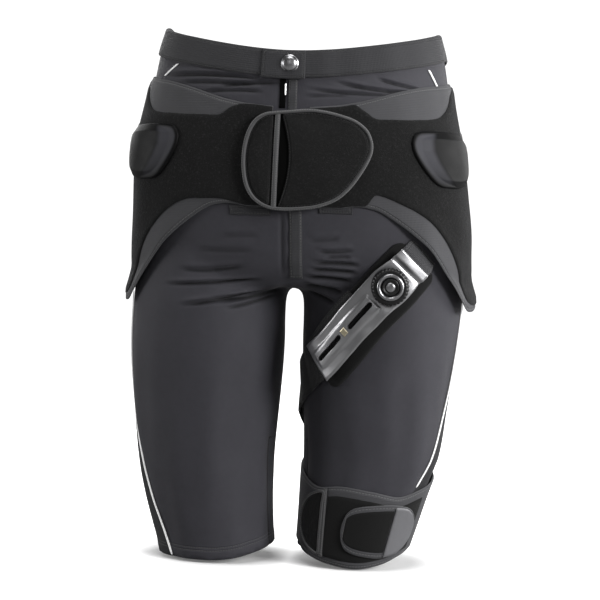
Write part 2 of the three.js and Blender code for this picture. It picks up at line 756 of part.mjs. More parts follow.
// A point on the belly at a height, x across on the closure's own face
function onBelly(x, height, lift) {
  let low = -Math.PI / 2;
  let high = Math.PI / 2;
  for (const i of range(30)) {
    const half = (low + high) / 2;
    if (trunkPoint(half, height, flapFoot).x < x) low = half;
    else high = half;
  }
  return trunkPoint(low, height, lift);
}
const closureOutline = CLOSURE.map(({ across, up }) => [
  closureLeft + across * closureWide,
  closureBottom + up * closureTall,
]);
const bindingTop = flapFoot + flapWall + bindingProud;
add("closure_binding", binding(onBelly, closureOutline, bindingWidth, closureFoot, bindingTop), "binding");
const closureInside = inset(closureOutline, bindingWidth + edgeGap);
const closureFace = [{ inset: 0, lift: closureFoot + closureWall }];
add("closure_base", pad(onBelly, closureInside, closureFoot, closureFace), "laminate");

// Where the seam band's middle lies at a height, and the flaps on its two sides
const bandAcross = (v) => {
  const up = (v - closureBottom) / closureTall;
  return closureLeft + closureWide * (closureBandFoot + (closureBandTop - closureBandFoot) * up);
};
const bandSide = closureBandWidth / 2 + edgeGap;
function closureFlap(side, bow) {
  const kept = closureInside.filter(([u, v]) => side * (u - bandAcross(v)) > bandSide + 1);
  const start = kept.findIndex((p, i) => {
    const before = kept[(i + kept.length - 1) % kept.length];
    return Math.hypot(p[0] - before[0], p[1] - before[1]) > closureTall / 2;
  });
  const run = [...kept.slice(start), ...kept.slice(0, start)];
  const drawn = (v) => v + Math.sign((closureTop + closureBottom) / 2 - v) * 2;
  const last = drawn(run[run.length - 1][1]);
  const first = drawn(run[0][1]);
  const edge = range(6).map((i) => {
    const share = i / 5;
    const v = last + (first - last) * share;
    return [bandAcross(v) + side * (bandSide + bow * closureWide * Math.sin(Math.PI * share)), v];
  });
  return [...run, ...edge];
}
const flapTop = flapFoot + flapWall;
const flapSteps = [{ inset: 0, lift: flapTop - 0.5 }, { inset: 1, lift: flapTop }];
add("closure_flap_left", pad(onBelly, closureFlap(1, flapBow), flapFoot, flapSteps), "plush");
add("closure_flap_right", pad(onBelly, closureFlap(-1, 0), flapFoot, flapSteps), "plush");
const bandEnd = bindingWidth + edgeGap + 1.5;
const bandStations = [-0.5, 0.5].map((share) => ({
  u: share * closureBandWidth,
  low: closureBottom + bandEnd,
  high: closureTop - bandEnd - 3,
}));
const onBand = (u, v, lift) => onBelly(bandAcross(v) + u, v, lift);
add("closure_seam_band", wall(onBand, bandStations, 6, flapFoot, flapTop + bindingProud), "binding");

// Hip pads, and the straps that run from them round to the back
const hipFoot = plushOuter + edgeGap;
for (const side of [1, -1]) {
  const name = side > 0 ? "left" : "right";
  const at = (u, v, lift) =>
    trunkPoint(side * angleAlong(rad(hipPadAngle), u, hipPadHeight), hipPadHeight + v, lift);
  const outline = HIP_PAD.map(({ along: a, up }) => [(a * hipPadWidth) / 2, (up * hipPadTall) / 2]);
  const steps = [
    { inset: 0, lift: hipFoot + hipPadThick * 0.3 },
    { inset: 2, lift: hipFoot + hipPadThick * 0.55 },
    { inset: 9, lift: hipFoot + hipPadThick },
  ];
  add(`hip_pad_${name}`, pad(at, outline, hipFoot, steps), "moulded");
  const behindPad = angleAlong(rad(hipPadAngle), hipPadWidth / 2 + edgeGap, hipPadHeight);
  const strapStart = THREE.MathUtils.radToDeg(behindPad);
  const stations = [];
  const middle = hipPadHeight + hipPadTall * 0.18;
  for (const angle of sharedAngles(strapStart, hipStrapEnd))
    stations.push({ u: side * rad(angle), low: middle - hipStrapTall / 2, high: middle + hipStrapTall / 2 });
  add(`hip_strap_${name}`, wall(trunkPoint, stations, 2, hipFoot, hipFoot + hipStrapWall), "webbing");
}

// The thigh strap's route as close points on the left leg, with its length
const legHeight = (drop) => -crotchDrop - legDrop * drop;
const routeSteps = 400;
const reversed = [...ROUTE].reverse();
const route = range(routeSteps + 1).map((i) => {
  const angle = ROUTE[0].angle + ((ROUTE[ROUTE.length - 1].angle - ROUTE[0].angle) * i) / routeSteps;
  return { angle: rad(angle), z: legHeight(along(reversed, "angle", angle, "drop")) };
});

// A point on the left leg, or on the trunk where that stands out past it
function onLeft(angle, z, lift) {
  const s = legSection(1, z);
  let extra = 0;
  if (z > -crotchDrop) {
    let near = 1 / Math.hypot(Math.sin(angle) / s.wide, Math.cos(angle) / s.deep);
    const leg = near;
    let far = hipWidth;
    const inside = (r) => {
      const x = s.middle + r * Math.sin(angle) - trunkMiddle(z);
      const y = s.back - r * Math.cos(angle);
      return Math.hypot(x, y) < trunkRadius(Math.atan2(x, -y), z);
    };
    if (inside(near)) {
      for (const i of range(30)) {
        const half = (near + far) / 2;
        if (inside(half)) near = half;
        else far = half;
      }
      extra = near - leg;
    }
  }
  return legPoint(1, angle, z, lift + extra);
}
let run = 0;
route.forEach((spot, i) => {
  spot.point = onLeft(spot.angle, spot.z, 0);
  if (i) run += spot.point.distanceTo(route[i - 1].point);
  spot.run = run;
});
const routeLength = run;
function routeSpot(s) {
  const i = THREE.MathUtils.clamp(route.findIndex((spot) => spot.run >= s), 1, routeSteps);
  const a = route[i - 1];
  const b = route[i];
  const t = (s - a.run) / (b.run - a.run);
  const section = legSection(1, a.z);
  const radius = Math.hypot(a.point.x - section.middle, a.point.y - section.back);
  const turn = ((b.angle - a.angle) * radius) / (b.run - a.run);
  const fall = (b.z - a.z) / (b.run - a.run);
  return { angle: a.angle + (b.angle - a.angle) * t, z: a.z + (b.z - a.z) * t, radius, turn, fall };
}

// A point beside the route: v is the distance across it, up and towards the inside for a positive v
const besideRoute = (on) => (s, v, lift) => {
  const spot = routeSpot(s);
  return on(spot.angle + (v * spot.fall) / spot.radius, spot.z - v * spot.turn, lift);
};
const besideStrap = besideRoute(onLeft);
const besidePlate = besideRoute((angle, z, lift) => legPoint(1, angle, z, lift));
const plateStart = route.find((spot) => spot.angle <= rad(20.5)).run;
const plateEnd = plateStart + plateLength;
const stationsFrom = (from, to, count, low, high) =>
  range(count).map((i) => ({ u: from + ((to - from) * i) / (count - 1), low, high }));

// Backing under the plate, with rounded ends
const backingInner = 1.5 * layerGap;
const backingOuter = backingInner + backingWall;
const backingCorner = 10;
const backingShift = -2;
function roundedStations(from, to, width, shift, corner, count) {
  const ease = range(4).map((i) => corner * (1 - Math.cos((i * Math.PI) / 6)));
  const offset = (d) => (d >= corner ? 0 : corner - Math.sqrt(corner ** 2 - (corner - d) ** 2));
  const places = [
    ...ease.map((d) => from + d),
    ...range(count).map((i) => from + corner + ((to - from - 2 * corner) * (i + 1)) / (count + 1)),
    ...ease.map((d) => to - d).reverse(),
  ];
  return places.map((u) => {
    const cut = offset(Math.min(u - from, to - u));
    return { u, low: shift - width / 2 + cut, high: shift + width / 2 - cut };
  });
}
const backingStart = plateStart - 8;
const backingEnd = plateEnd + 6;
const backingStations = roundedStations(
  backingStart,
  backingEnd,
  backingWidth,
  backingShift,
  backingCorner,
  12,
);
const backingUnder = grid(besideStrap, backingStations, 3, backingInner);
const backingFace = grid(besidePlate, backingStations, 3, backingOuter);
add("thigh_backing", gridWall(backingUnder, backingFace), "plush");

// Thigh strap: from under the plate round the thigh onto the back of the cuff
const cuffInner = layerGap;
const cuffOuter = cuffInner + cuffWall;
const strapOverBacking = backingOuter + 1.2 * layerGap;
const strapOverCuff = cuffOuter + 2.6;
const strapStart = plateStart + plateLength * 0.45;
const strapRise = 24;
const strapRiseStart = 2.4 * strapRise;
const cuffTopAtBack = legHeight(CUFF[0].top);
const strapMeetsCuff = route.find((spot) => spot.z - strapWidth * 0.75 <= cuffTopAtBack).run;
function strapInner(s) {
  const off = THREE.MathUtils.smoothstep(s, plateEnd + 8, plateEnd + 8 + strapRise);
  const ahead = strapMeetsCuff - s;
  const on = 1 - THREE.MathUtils.smoothstep(ahead, strapRiseStart - strapRise, strapRiseStart);
  return strapOverBacking + (layerGap - strapOverBacking) * off + (strapOverCuff - layerGap) * on;
}
const strapStations = stationsFrom(strapStart, routeLength, 27, -strapWidth / 2 + 3, strapWidth / 2 + 3);
const strapFace = (thick) => (s) => strapInner(s) + thick;
add("thigh_strap", wall(besidePlate, strapStations, 2, strapFace(0), strapFace(strapWall)), "webbing");

// Webbing: from under the belt into the plate's top bar
const webbingInner = backingOuter + edgeGap;
const webbingUnderPlate = 8;
const webbingUnderBelt = 12;
const webbingStart = plateStart - webbingUnderBelt;
const webbingEnd = plateStart + webbingUnderPlate;
const webbingStations = stationsFrom(webbingStart, webbingEnd, 6, -webbingWidth / 2, webbingWidth / 2);
const webbingOuter = webbingInner + webbingWall;
add("belt_webbing", wall(besidePlate, webbingStations, 3, webbingInner, webbingOuter), "webbing");

// Tensioner plate: straight across, bent along the route, with a raised bar and two slots
const plateInner = strapOverBacking + strapWall + 1.6 * edgeGap;
const plateOuter = plateInner + plateWall;
function routeFrame(s) {
  const origin = besidePlate(s, 0, 0);
  const ahead = besidePlate(s + 1, 0, 0).sub(besidePlate(s - 1, 0, 0)).normalize();
  const side = besidePlate(s, 4, 0).sub(besidePlate(s, -4, 0)).normalize();
  const out = new THREE.Vector3().crossVectors(side, ahead).normalize();
  const outward = out.dot(besidePlate(s, 0, 1).sub(origin)) > 0 ? out : out.negate();
  return { origin, out: outward, side, up: ahead };
}
function onPlate(s, v, lift) {
  const frame = routeFrame(s);
  return frame.origin.clone().addScaledVector(frame.side, v).addScaledVector(frame.out, lift);
}
const plateStations = stationsFrom(plateStart, plateEnd, 13, -plateWidth / 2, plateWidth / 2);
const barHalf = plateWidth / 2 + 0.8;
const barStations = stationsFrom(plateStart, plateStart + plateBarWidth, 2, -barHalf, barHalf);
function slotTool([from, to]) {
  const stations = roundedStations(plateStart + from, plateStart + to, slotWidth, 0, slotWidth / 2, 4);
  for (const station of [stations[0], stations[stations.length - 1]]) {
    station.low = -0.6;
    station.high = 0.6;
  }
  return wall(onPlate, stations, 1, plateInner - 2, plateOuter + 2);
}
const plate = wall(onPlate, plateStations, 1, plateInner, plateOuter)
  .add(wall(onPlate, barStations, 1, plateInner + 0.2, plateOuter + plateBarProud))
  .subtract(slotTool(upperSlot))
  .subtract(slotTool(lowerSlot));
add("tension_plate", plate, "gunmetal");
const markerAt = plateStart + (upperSlot[1] + lowerSlot[0]) / 2;
const markerHalf = slotWidth / 2 + 1;
const markerStations = stationsFrom(
  markerAt - markerLength / 2,
  markerAt + markerLength / 2,
  2,
  -markerHalf,
  markerHalf,
);
const markerFoot = plateOuter + edgeGap;
add("tension_marker", wall(onPlate, markerStations, 1, markerFoot, markerFoot + markerProud), "brass");

// Dial: a base on the plate, and a hub that carries the grip and its bezel
const dialAt = plateStart + dialFromTop;
const dialFrame = routeFrame(dialAt);
const dialFoot = plateOuter + edgeGap;
const baseTop = dialFoot + dialBaseHeight;
const plateClearance = wall(onPlate, plateStations, 1, plateInner - 6, dialFoot);
const dialBaseProfile = [
  [dialBaseRadius, plateOuter - 1],
  [dialBaseRadius, baseTop - 0.8],
  [dialBaseRadius - 0.8, baseTop],
];
add("dial_base", turned(dialBaseProfile, 24, dialFrame).subtract(plateClearance), "gunmetal");
const gripFoot = baseTop + runningGap;
const gripTop = gripFoot + dialGripHeight;
const bore = hubRadius + runningGap;
const gripSides = 2 * dialTeeth;
const boreTool = (low, high) => turned([[bore, low], [bore, high]], 20, dialFrame);
const toothed = (r, i) => (i % 2 ? r : r - 1.1);
const gripProfile = [
  [dialRadius, gripFoot],
  [dialRadius, gripFoot + dialGripHeight * 0.55],
  [bezelRadius + 2.4, gripTop],
];
const grip = turned(gripProfile, gripSides, dialFrame, toothed);
add("dial_grip", grip.subtract(boreTool(gripFoot - 1, gripTop + 1)), "rubber");
const bezelFoot = gripTop + 0.3;
const bezelProfile = [
  [bezelRadius, bezelFoot],
  [bezelRadius, bezelFoot + bezelHeight * 0.4],
  [bezelRadius - 1.8, bezelFoot + bezelHeight],
];
const bezelTool = boreTool(bezelFoot - 1, bezelFoot + bezelHeight + 1);
add("dial_bezel", turned(bezelProfile, 20, dialFrame).subtract(bezelTool), "steel");
const hubTop = gripFoot + hubHeight;
const hubProfile = [
  [hubRadius, gripFoot],
  [hubRadius, hubTop - 0.6],
  [hubRadius - 0.6, hubTop],
  [hubButtonRadius, hubTop - 0.8],
  [hubButtonRadius, hubTop + 0.6],
  [hubButtonRadius * 0.6, hubTop + 1.1],
];
add("dial_hub", turned(hubProfile, 20, dialFrame), "rubber");

// Knee cuff: a closed wrap, a plush face, a flap, a seam band, and a closure tab with its grip
const turnStations = (from, to, count, low, high) =>
  range(count).map((i) => {
    const angle = from + ((to - from) * i) / (count - 1);
    return { u: rad(angle), low: low(angle), high: high(angle) };
  });
const cuffTop = (angle) => legHeight(along(CUFF, "angle", angle, "top"));
const cuffFoot = (angle) => legHeight(along(CUFF, "angle", angle, "foot"));
const cuffSides = legSides;
const cuffStations = turnStations(-180, 180 - 360 / cuffSides, cuffSides, cuffFoot, cuffTop);
add("knee_cuff", wall(onLeft, cuffStations, 3, cuffInner, cuffOuter, true), "laminate");
const cuffPlushInner = cuffOuter + edgeGap;
const cuffBandTop = 10;
const cuffBandFoot = 7;
const cuffStep = 360 / cuffSides;
const plushStations = [-27, ...range(6).map((i) => (i - 1) * cuffStep), 64].map((angle) => ({
  u: rad(angle),
  low: cuffFoot(angle) + cuffBandFoot,
  high: cuffTop(angle) - cuffBandTop,
}));
const cuffPlushOuter = cuffPlushInner + cuffPlushWall;
add("cuff_plush", wall(onLeft, plushStations, 3, cuffPlushInner, cuffPlushOuter), "plush");
const cuffSeamAt = -30.25;
const seamStations = turnStations(
  cuffSeamAt - cuffSeamWidth / 2 + 0.25,
  cuffSeamAt + cuffSeamWidth / 2 - 0.25,
  2,
  (angle) => cuffFoot(angle) + 5,
  (angle) => cuffTop(angle) - 2,
);
const cuffSeamTop = cuffPlushOuter + bindingProud;
add("cuff_seam_band", wall(onLeft, seamStations, 4, cuffPlushInner, cuffSeamTop), "binding");

// A pad over an outline given round the leg, worked out in millimetres about its middle
function cuffPad(outline, foot, steps) {
  const z = legHeight(outline.reduce((sum, row) => sum + row.drop, 0) / outline.length);
  const radius = legSection(1, z).wide + foot;
  const flat = outline.map(({ angle, drop }) => [rad(angle) * radius, legHeight(drop)]);
  return pad((u, v, lift) => onLeft(u / radius, v, lift), flat, foot, steps);
}
const tabFootLift = cuffPlushOuter + layerGap;
const tabTopLift = tabFootLift + cuffTabWall;
const cuffFlapFace = [{ inset: 0, lift: cuffPlushInner + cuffTabWall }];
add("cuff_flap", cuffPad(CUFF_FLAP, cuffPlushInner, cuffFlapFace), "plush");
const tabRows = (table) =>
  table.map((row) => ({ u: rad(row.angle), low: legHeight(row.foot), high: legHeight(row.top) }));
add("cuff_tab", wall(onLeft, tabRows(CUFF_TAB), 3, tabFootLift, tabTopLift), "laminate");
const gripFootLift = tabTopLift + edgeGap;
const gripTopLift = gripFootLift + cuffGripWall;
add("cuff_tab_grip", wall(onLeft, tabRows(CUFF_GRIP), 3, gripFootLift, gripTopLift), "moulded");

// Piping down the side seams: between the waistband and the belt, and below the belt
const seamAngle = (z) => rad(along(SEAM, "drop", -z / hemDrop, "angle"));
function pipingRun(side, from, to, rows) {
  const at = (u, v, lift) => legPoint(side, seamAngle(v) + u, v, lift);
  const half = pipingWidth / 2 / legSection(side, from).wide;
  const stations = [-half, half].map((u) => ({ u, low: to, high: from }));
  return wall(at, stations, rows, layerGap, layerGap + pipingWall);
}
const beltFootAtSeam = crotchDrop * Math.min(...BELT.map((row) => row.foot)) - 3;
add("piping_left", pipingRun(1, beltFootAtSeam, cuffTop(76) + 2, 14), "reflective");
add("piping_right", pipingRun(-1, beltFootAtSeam, hemHeight(0) + 1, 16), "reflective");

export default brace;
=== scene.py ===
"""Hip abduction brace on its base shorts, shown worn: cloth, foam, webbing, moulded pads and the tensioner.
Metres, +Z up, the wearer faces -Y and the wearer's left is +X. The origin is the middle of the waist."""

import math

import bmesh
import bpy
import numpy as np
from mathutils import Matrix, Vector


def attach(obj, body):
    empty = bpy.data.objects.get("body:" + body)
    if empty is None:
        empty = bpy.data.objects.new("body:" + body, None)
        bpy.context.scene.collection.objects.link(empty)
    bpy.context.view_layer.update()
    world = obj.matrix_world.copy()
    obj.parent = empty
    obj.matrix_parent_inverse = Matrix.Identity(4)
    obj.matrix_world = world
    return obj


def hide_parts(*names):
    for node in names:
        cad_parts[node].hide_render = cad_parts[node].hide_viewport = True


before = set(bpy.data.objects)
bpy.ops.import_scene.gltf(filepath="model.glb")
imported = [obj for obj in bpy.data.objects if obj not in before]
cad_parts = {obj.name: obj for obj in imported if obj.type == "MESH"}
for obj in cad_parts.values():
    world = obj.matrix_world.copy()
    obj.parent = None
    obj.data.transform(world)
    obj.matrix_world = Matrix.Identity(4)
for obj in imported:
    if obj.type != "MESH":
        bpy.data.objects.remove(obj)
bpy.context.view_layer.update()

# Driving sizes of the worn form
MM = 0.001
HIP_HALF = 0.174
BELLY_DEPTH = 0.108
SEAT_DEPTH = 0.128
CROTCH_DROP = 0.240
HEM_DROP = 0.526
LEG_DROP = HEM_DROP - CROTCH_DROP
THIGH_HALF = 0.090
LEG_GAP_HALF = 0.0095
LEG_SET_BACK = 0.006
HEM_RISE = 0.014
FLOOR_GAP = 0.0035
CLOTH_WALL = 0.0016

# Waist
WAIST_FRONT = 0.001
WAIST_SIDE = 0.028
WAIST_BACK = -0.007
BAND_TALL = 0.028

# Layers over the shorts, as lifts from the skin of the form
BELT_FOOT = 0.00135
BELT_WALL = 0.0024
PLUSH_FOOT = 0.00425
PLUSH_WALL = 0.0014
CLOSURE_FOOT = 0.00595
FLAP_FOOT = 0.0078
FLAP_WALL = 0.0026
BACKING_FOOT = 0.00135
BACKING_WALL = 0.0045
STRAP_OVER_BACKING = 0.00693
STRAP_WALL = 0.002
STRAP_WIDE = 0.046
STRAP_OUTER = -0.020
PLATE_FOOT = 0.00973
PLATE_WALL = 0.0034
CUFF_FOOT = 0.0009
CUFF_WALL = 0.0028
CUFF_PLUSH_FOOT = 0.0042
CUFF_TAB_FOOT = 0.0061


def table(columns, *rows):
    """Rows of numbers under named columns, each column kept as an array."""
    return dict(zip(columns.split(), np.array(rows, float).T))


# Trunk sections: drop as a share of the crotch drop, half width and lean to the wearer's left as shares of
# the half hips, front as a share of the belly, back as a share of the seat, and how square the section is
TRUNK = table("drop lean wide front back square",
              (-0.18, 0, 0.805, 0.86, 0.7, 2.2), (-0.12, 0, 0.815, 0.88, 0.72, 2.2),
              (0, 0, 0.86, 0.926, 0.766, 2.2), (0.19, 0, 0.905, 0.981, 0.844, 2.3),
              (0.42, 0.002, 0.963, 1, 0.953, 2.4), (0.71, 0.028, 0.994, 0.95, 1, 2.5),
              (0.875, 0.03, 0.998, 0.88, 0.95, 2.5), (0.96, 0.03, 0.98, 0.78, 0.82, 2.5),
              (1, 0.03, 0.94, 0.66, 0.64, 2.5))

# Leg sections: drop below the crotch as a share of the leg, outer side and what the left has more of it,
# inner side, depth and set back
LEG = table("drop outer lean inner deep back",
            (-0.25, 0.965, 0.03, 0.86, 1.02, 1), (-0.14, 0.98, 0.028, 0.9, 1.02, 1),
            (0, 1, 0.023, 0.95, 1, 1), (0.06, 1.003, 0.018, 1, 1, 1),
            (0.24, 0.99, 0.001, 1.05, 0.955, 0.85), (0.43, 0.958, -0.007, 1.42, 0.89, 0.7),
            (0.61, 0.924, -0.008, 1.72, 0.82, 0.5), (0.7, 0.887, -0.022, 1.7, 0.79, 0.42),
            (0.8, 0.84, -0.031, 1.63, 0.755, 0.35), (0.94, 0.77, -0.033, 1.4, 0.705, 0.15),
            (1.03, 0.729, -0.033, 1.26, 0.68, 0))

# Side seam: the angle round the leg in degrees, by the drop as a share of the whole drop to the hem
SEAM = table("drop angle",
             (-0.2, 30), (0.03, 38), (0.055, 45), (0.11, 62), (0.19, 72), (0.32, 77), (0.5, 79), (0.63, 79),
             (0.675, 77), (0.725, 73), (0.775, 69), (0.825, 63), (0.875, 55), (0.94, 47), (1.05, 38))

# Hip belt edges by the angle round the trunk, heights as shares of the crotch drop
BELT = table("angle top foot plush_top plush_foot",
             (3, -0.238, -0.655, -0.242, -0.651), (24, -0.222, -0.655, -0.226, -0.651),
             (30, -0.212, -0.648, -0.24, -0.638), (35, -0.202, -0.647, -0.272, -0.628),
             (42, -0.182, -0.665, -0.273, -0.628), (50, -0.158, -0.722, -0.272, -0.635),
             (57, -0.14, -0.795, -0.268, -0.676), (63, -0.128, -0.873, -0.264, -0.736),
             (69, -0.12, -0.955, -0.25, -0.82), (75, -0.112, -1.035, -0.205, -0.94),
             (80, -0.106, -1.08, -0.15, -1.035), (90, -0.096, -1.07, -0.112, -1.05),
             (105, -0.084, -1.01, -0.098, -0.995), (120, -0.093, -0.93, -0.107, -0.915),
             (140, -0.122, -0.85, -0.136, -0.835), (160, -0.145, -0.8, -0.159, -0.785),
             (180, -0.157, -0.785, -0.171, -0.77))

# Front closure outline: across from its left to its right edge, up from its foot to its top
CLOSURE = table("across up",
                (0.26, 0.97), (0.38, 0.985), (0.51, 1), (0.64, 0.985), (0.76, 0.95), (0.86, 0.905),
                (0.945, 0.825), (0.987, 0.73), (1, 0.64), (0.985, 0.54), (0.93, 0.4), (0.845, 0.24),
                (0.74, 0.115), (0.6, 0.04), (0.46, 0.01), (0.32, 0), (0.2, 0.02), (0.095, 0.1),
                (0.03, 0.23), (0.003, 0.4), (0.003, 0.58), (0.03, 0.75), (0.085, 0.88), (0.165, 0.95))
CLOSURE_LEFT = -0.047
CLOSURE_WIDE = 0.129
CLOSURE_FOOT_Z = -0.161
CLOSURE_TALL = 0.103
CLOSURE_SEAM = (0.252, 0.268)
BINDING_WIDE = 0.0036
SEAM_BAND_WIDE = 0.0054

# Hip pad outline: shares of half its width towards the back, and of half its height up
HIP_PAD = table("along up",
                (-0.82, 0.93), (-0.45, 1), (0.05, 1), (0.6, 0.95), (0.9, 0.78), (1, 0.4), (0.98, 0),
                (0.87, -0.5), (0.65, -0.85), (0.3, -0.99), (-0.05, -1), (-0.3, -0.97), (-0.48, -0.82),
                (-0.67, -0.5), (-0.85, -0.1), (-0.97, 0.3), (-0.97, 0.66))
HIP_PAD_ANGLE = math.radians(69.2)
RIGHT_PAD_FORWARD = math.radians(2.0)
HIP_PAD_Z = -0.104
HIP_PAD_WIDE = 0.093
HIP_PAD_TALL = 0.057
HIP_STRAP_WIDE = 0.042
HIP_STRAP_END = math.radians(166)

# Thigh strap route round the left leg: angle from the front towards the outside, drop as a share of the leg
ROUTE = table("angle drop",
              (-190, 0.77), (-165, 0.67), (-130, 0.52), (-92, 0.39), (-66, 0.33), (-41, 0.26), (-10, 0.074),
              (20.5, -0.112), (47, -0.26))

# Knee cuff edges by the angle round the leg, drops as shares of the leg
CUFF = table("angle top foot",
             (-180, 0.61, 0.935), (-135, 0.61, 0.93), (-100, 0.635, 0.93), (-75, 0.675, 0.935),
             (-56, 0.702, 0.95), (-40, 0.718, 0.975), (-18, 0.708, 0.995), (9, 0.722, 1.008),
             (34, 0.742, 0.995), (56, 0.722, 0.972), (90, 0.695, 0.953), (135, 0.645, 0.935),
             (180, 0.61, 0.935))
CUFF_FLAP = table("angle drop",
                  (-31, 0.732), (-40, 0.738), (-50, 0.763), (-57, 0.805), (-58.5, 0.845), (-55, 0.887),
                  (-46, 0.925), (-35, 0.95), (-27.5, 0.955), (-28.5, 0.9), (-29.5, 0.84), (-30.5, 0.78))
CUFF_TAB = table("angle top foot",
                 (-10.5, 0.845, 0.868), (-9, 0.812, 0.9), (-5, 0.788, 0.93), (1, 0.777, 0.947),
                 (8, 0.772, 0.956), (16, 0.769, 0.962), (26, 0.768, 0.966), (36, 0.773, 0.963),
                 (45, 0.783, 0.954), (53, 0.803, 0.935), (58, 0.832, 0.905), (60, 0.857, 0.88))
CUFF_GRIP = table("angle top foot",
                  (30.5, 0.777, 0.961), (37, 0.78, 0.957), (44, 0.789, 0.948), (50, 0.808, 0.93),
                  (54.5, 0.832, 0.905), (56.5, 0.855, 0.88))

# Creases of the shorts in front, in millimetres: two ends, how far the middle sags, half width and depth;
# the depth also sets how much shade is painted into the crease's core
CREASES = table("x z to_x to_z sag wide deep",
                (-112, -224, -46, -219, -2.5, 3.4, 1.5), (-125, -240, -30, -232, -0.6, 2.4, 2.6),
                (-108, -261, -25, -242, -1.5, 2.8, 3.0), (-63, -263, -13, -248, -0.8, 2.6, 2.2),
                (-76, -254, -4, -241, -3.0, 4.2, 3.4), (-70, -189, -30, -187, 0.5, 3.6, 0.6),
                (-94, -203, -36, -202, -1.0, 3.6, 0.7), (30, -201, 66, -199, -1.0, 2.8, 1.4),
                (38, -207, 64, -206, 0.5, 2.6, 1.2), (26, -213, 72, -214, 1.0, 2.8, 1.9),
                (22, -220, 70, -222, 0.8, 2.8, 2.1), (18, -228, 66, -231, 1.0, 3.0, 2.5),
                (16, -236, 58, -243, 0.5, 3.2, 2.7), (16, -243, 48, -254, 0.5, 3.2, 2.4),
                (20, -190, 52, -187, -1.0, 3.6, 0.8), (-7, -156, -5, -229, 0.0, 3.2, 0.9),
                (-136, -25, -30, -29, 1.5, 2.8, 2.4), (-120, -33, -36, -36, 1.5, 2.6, 1.6),
                (-76, -37, -13, -32, 1.0, 2.8, 2.4), (-92, -43, -30, -42, 1.5, 2.6, 1.5),
                (44, -30, 126, -37, -3.0, 2.2, 2.1), (84, -25, 128, -34, -0.5, 2.0, 1.9),
                (16, -38, 104, -40, -2.0, 2.2, 1.5), (14, -46, 56, -43, 0.5, 2.4, 1.0))


def along(rows, key, place, value):
    """A table's value between its rows, on a smooth curve through them."""
    keys, values = rows[key], rows[value]
    last = len(keys) - 1
    place = np.clip(place, keys[0], keys[-1])
    i = np.clip(np.searchsorted(keys, place), 1, last)
    before = np.maximum(i - 2, 0)
    after = np.minimum(i + 1, last)
    span = keys[i] - keys[i - 1]
    t = (place - keys[i - 1]) / span
    slope_a = (values[i] - values[before]) / (keys[i] - keys[before]) * span
    slope_b = (values[after] - values[i - 1]) / (keys[after] - keys[i - 1]) * span
    return ((2 * t**3 - 3 * t**2 + 1) * values[i - 1] + (t**3 - 2 * t**2 + t) * slope_a
            + (3 * t**2 - 2 * t**3) * values[i] + (t**3 - t**2) * slope_b)


def smooth(value, low, high):
    """0 below low, 1 above high, and an even turn between them."""
    t = np.clip((value - low) / (high - low), 0, 1)
    return t * t * (3 - 2 * t)


def points(x, y, z):
    return np.stack(np.broadcast_arrays(x, y, z), axis=-1)


def trunk_radius(angle, z):
    """Radius of the trunk from its middle, at an angle from the front."""
    drop = -z / CROTCH_DROP
    half = HIP_HALF * along(TRUNK, "drop", drop, "wide")
    front = BELLY_DEPTH * along(TRUNK, "drop", drop, "front")
    back = SEAT_DEPTH * along(TRUNK, "drop", drop, "back")
    deep = np.where(np.cos(angle) > 0, front, back)
    n = along(TRUNK, "drop", drop, "square")
    return (np.abs(np.sin(angle) / half) ** n + np.abs(np.cos(angle) / deep) ** n) ** (-1 / n)


def trunk_middle(z):
    """How far the trunk's middle stands to the wearer's left."""
    return HIP_HALF * along(TRUNK, "drop", -z / CROTCH_DROP, "lean")


def on_trunk(angle, z, lift):
    r = trunk_radius(angle, z) + lift
    return points(trunk_middle(z) + r * np.sin(angle), -r * np.cos(angle), z)


def leg_section(z, side=1):
    """One level of a leg: the middle of its section, its set back, and its half width and half depth."""
    drop = (-z - CROTCH_DROP) / LEG_DROP
    outer = HIP_HALF * (along(LEG, "drop", drop, "outer") + side * along(LEG, "drop", drop, "lean"))
    inner = LEG_GAP_HALF * along(LEG, "drop", drop, "inner")
    back = LEG_SET_BACK * along(LEG, "drop", drop, "back")
    return (outer + inner) / 2, back, (outer - inner) / 2, THIGH_HALF * along(LEG, "drop", drop, "deep")


def on_leg(angle, z, lift, side=1):
    """A point on a leg. Side is 1 for the wearer's left, and the angle runs from the front outwards."""
    middle, back, wide, deep = leg_section(z, side)
    r = 1 / np.hypot(np.sin(angle) / wide, np.cos(angle) / deep) + lift
    return points(side * (middle + r * np.sin(angle)), back - r * np.cos(angle), z)


def leg_reach(angle, z):
    """Radius from the trunk's middle to the outer side of a leg, or 0 where the ray misses it."""
    side = np.where(np.sin(angle) < 0, -1, 1)
    middle, back, wide, deep = leg_section(z, side)
    middle = middle - side * trunk_middle(np.maximum(z, -CROTCH_DROP))
    ux, uy = np.abs(np.sin(angle)), -np.cos(angle)
    a = (ux / wide) ** 2 + (uy / deep) ** 2
    b = ux * middle / wide**2 + uy * back / deep**2
    c = (middle / wide) ** 2 + (back / deep) ** 2 - 1
    root = b * b - a * c
    return np.where(root > 0, (b + np.sqrt(np.maximum(root, 0))) / a, 0)


def on_hull(angle, z, lift):
    """A point on trunk and legs taken together, which the belt lies on."""
    leg = np.where(z < -CROTCH_DROP + 0.25 * LEG_DROP, leg_reach(angle, z), 0)
    height = np.maximum(z, -CROTCH_DROP)
    r = np.maximum(trunk_radius(angle, height), leg) + lift
    return points(trunk_middle(height) + r * np.sin(angle), -r * np.cos(angle), z)


def halved(test, low, high, steps=30):
    """Where test turns from true to false between low and high."""
    for _ in range(steps):
        half = (low + high) / 2
        inside = test(half)
        low, high = np.where(inside, half, low), np.where(inside, high, half)
    return low


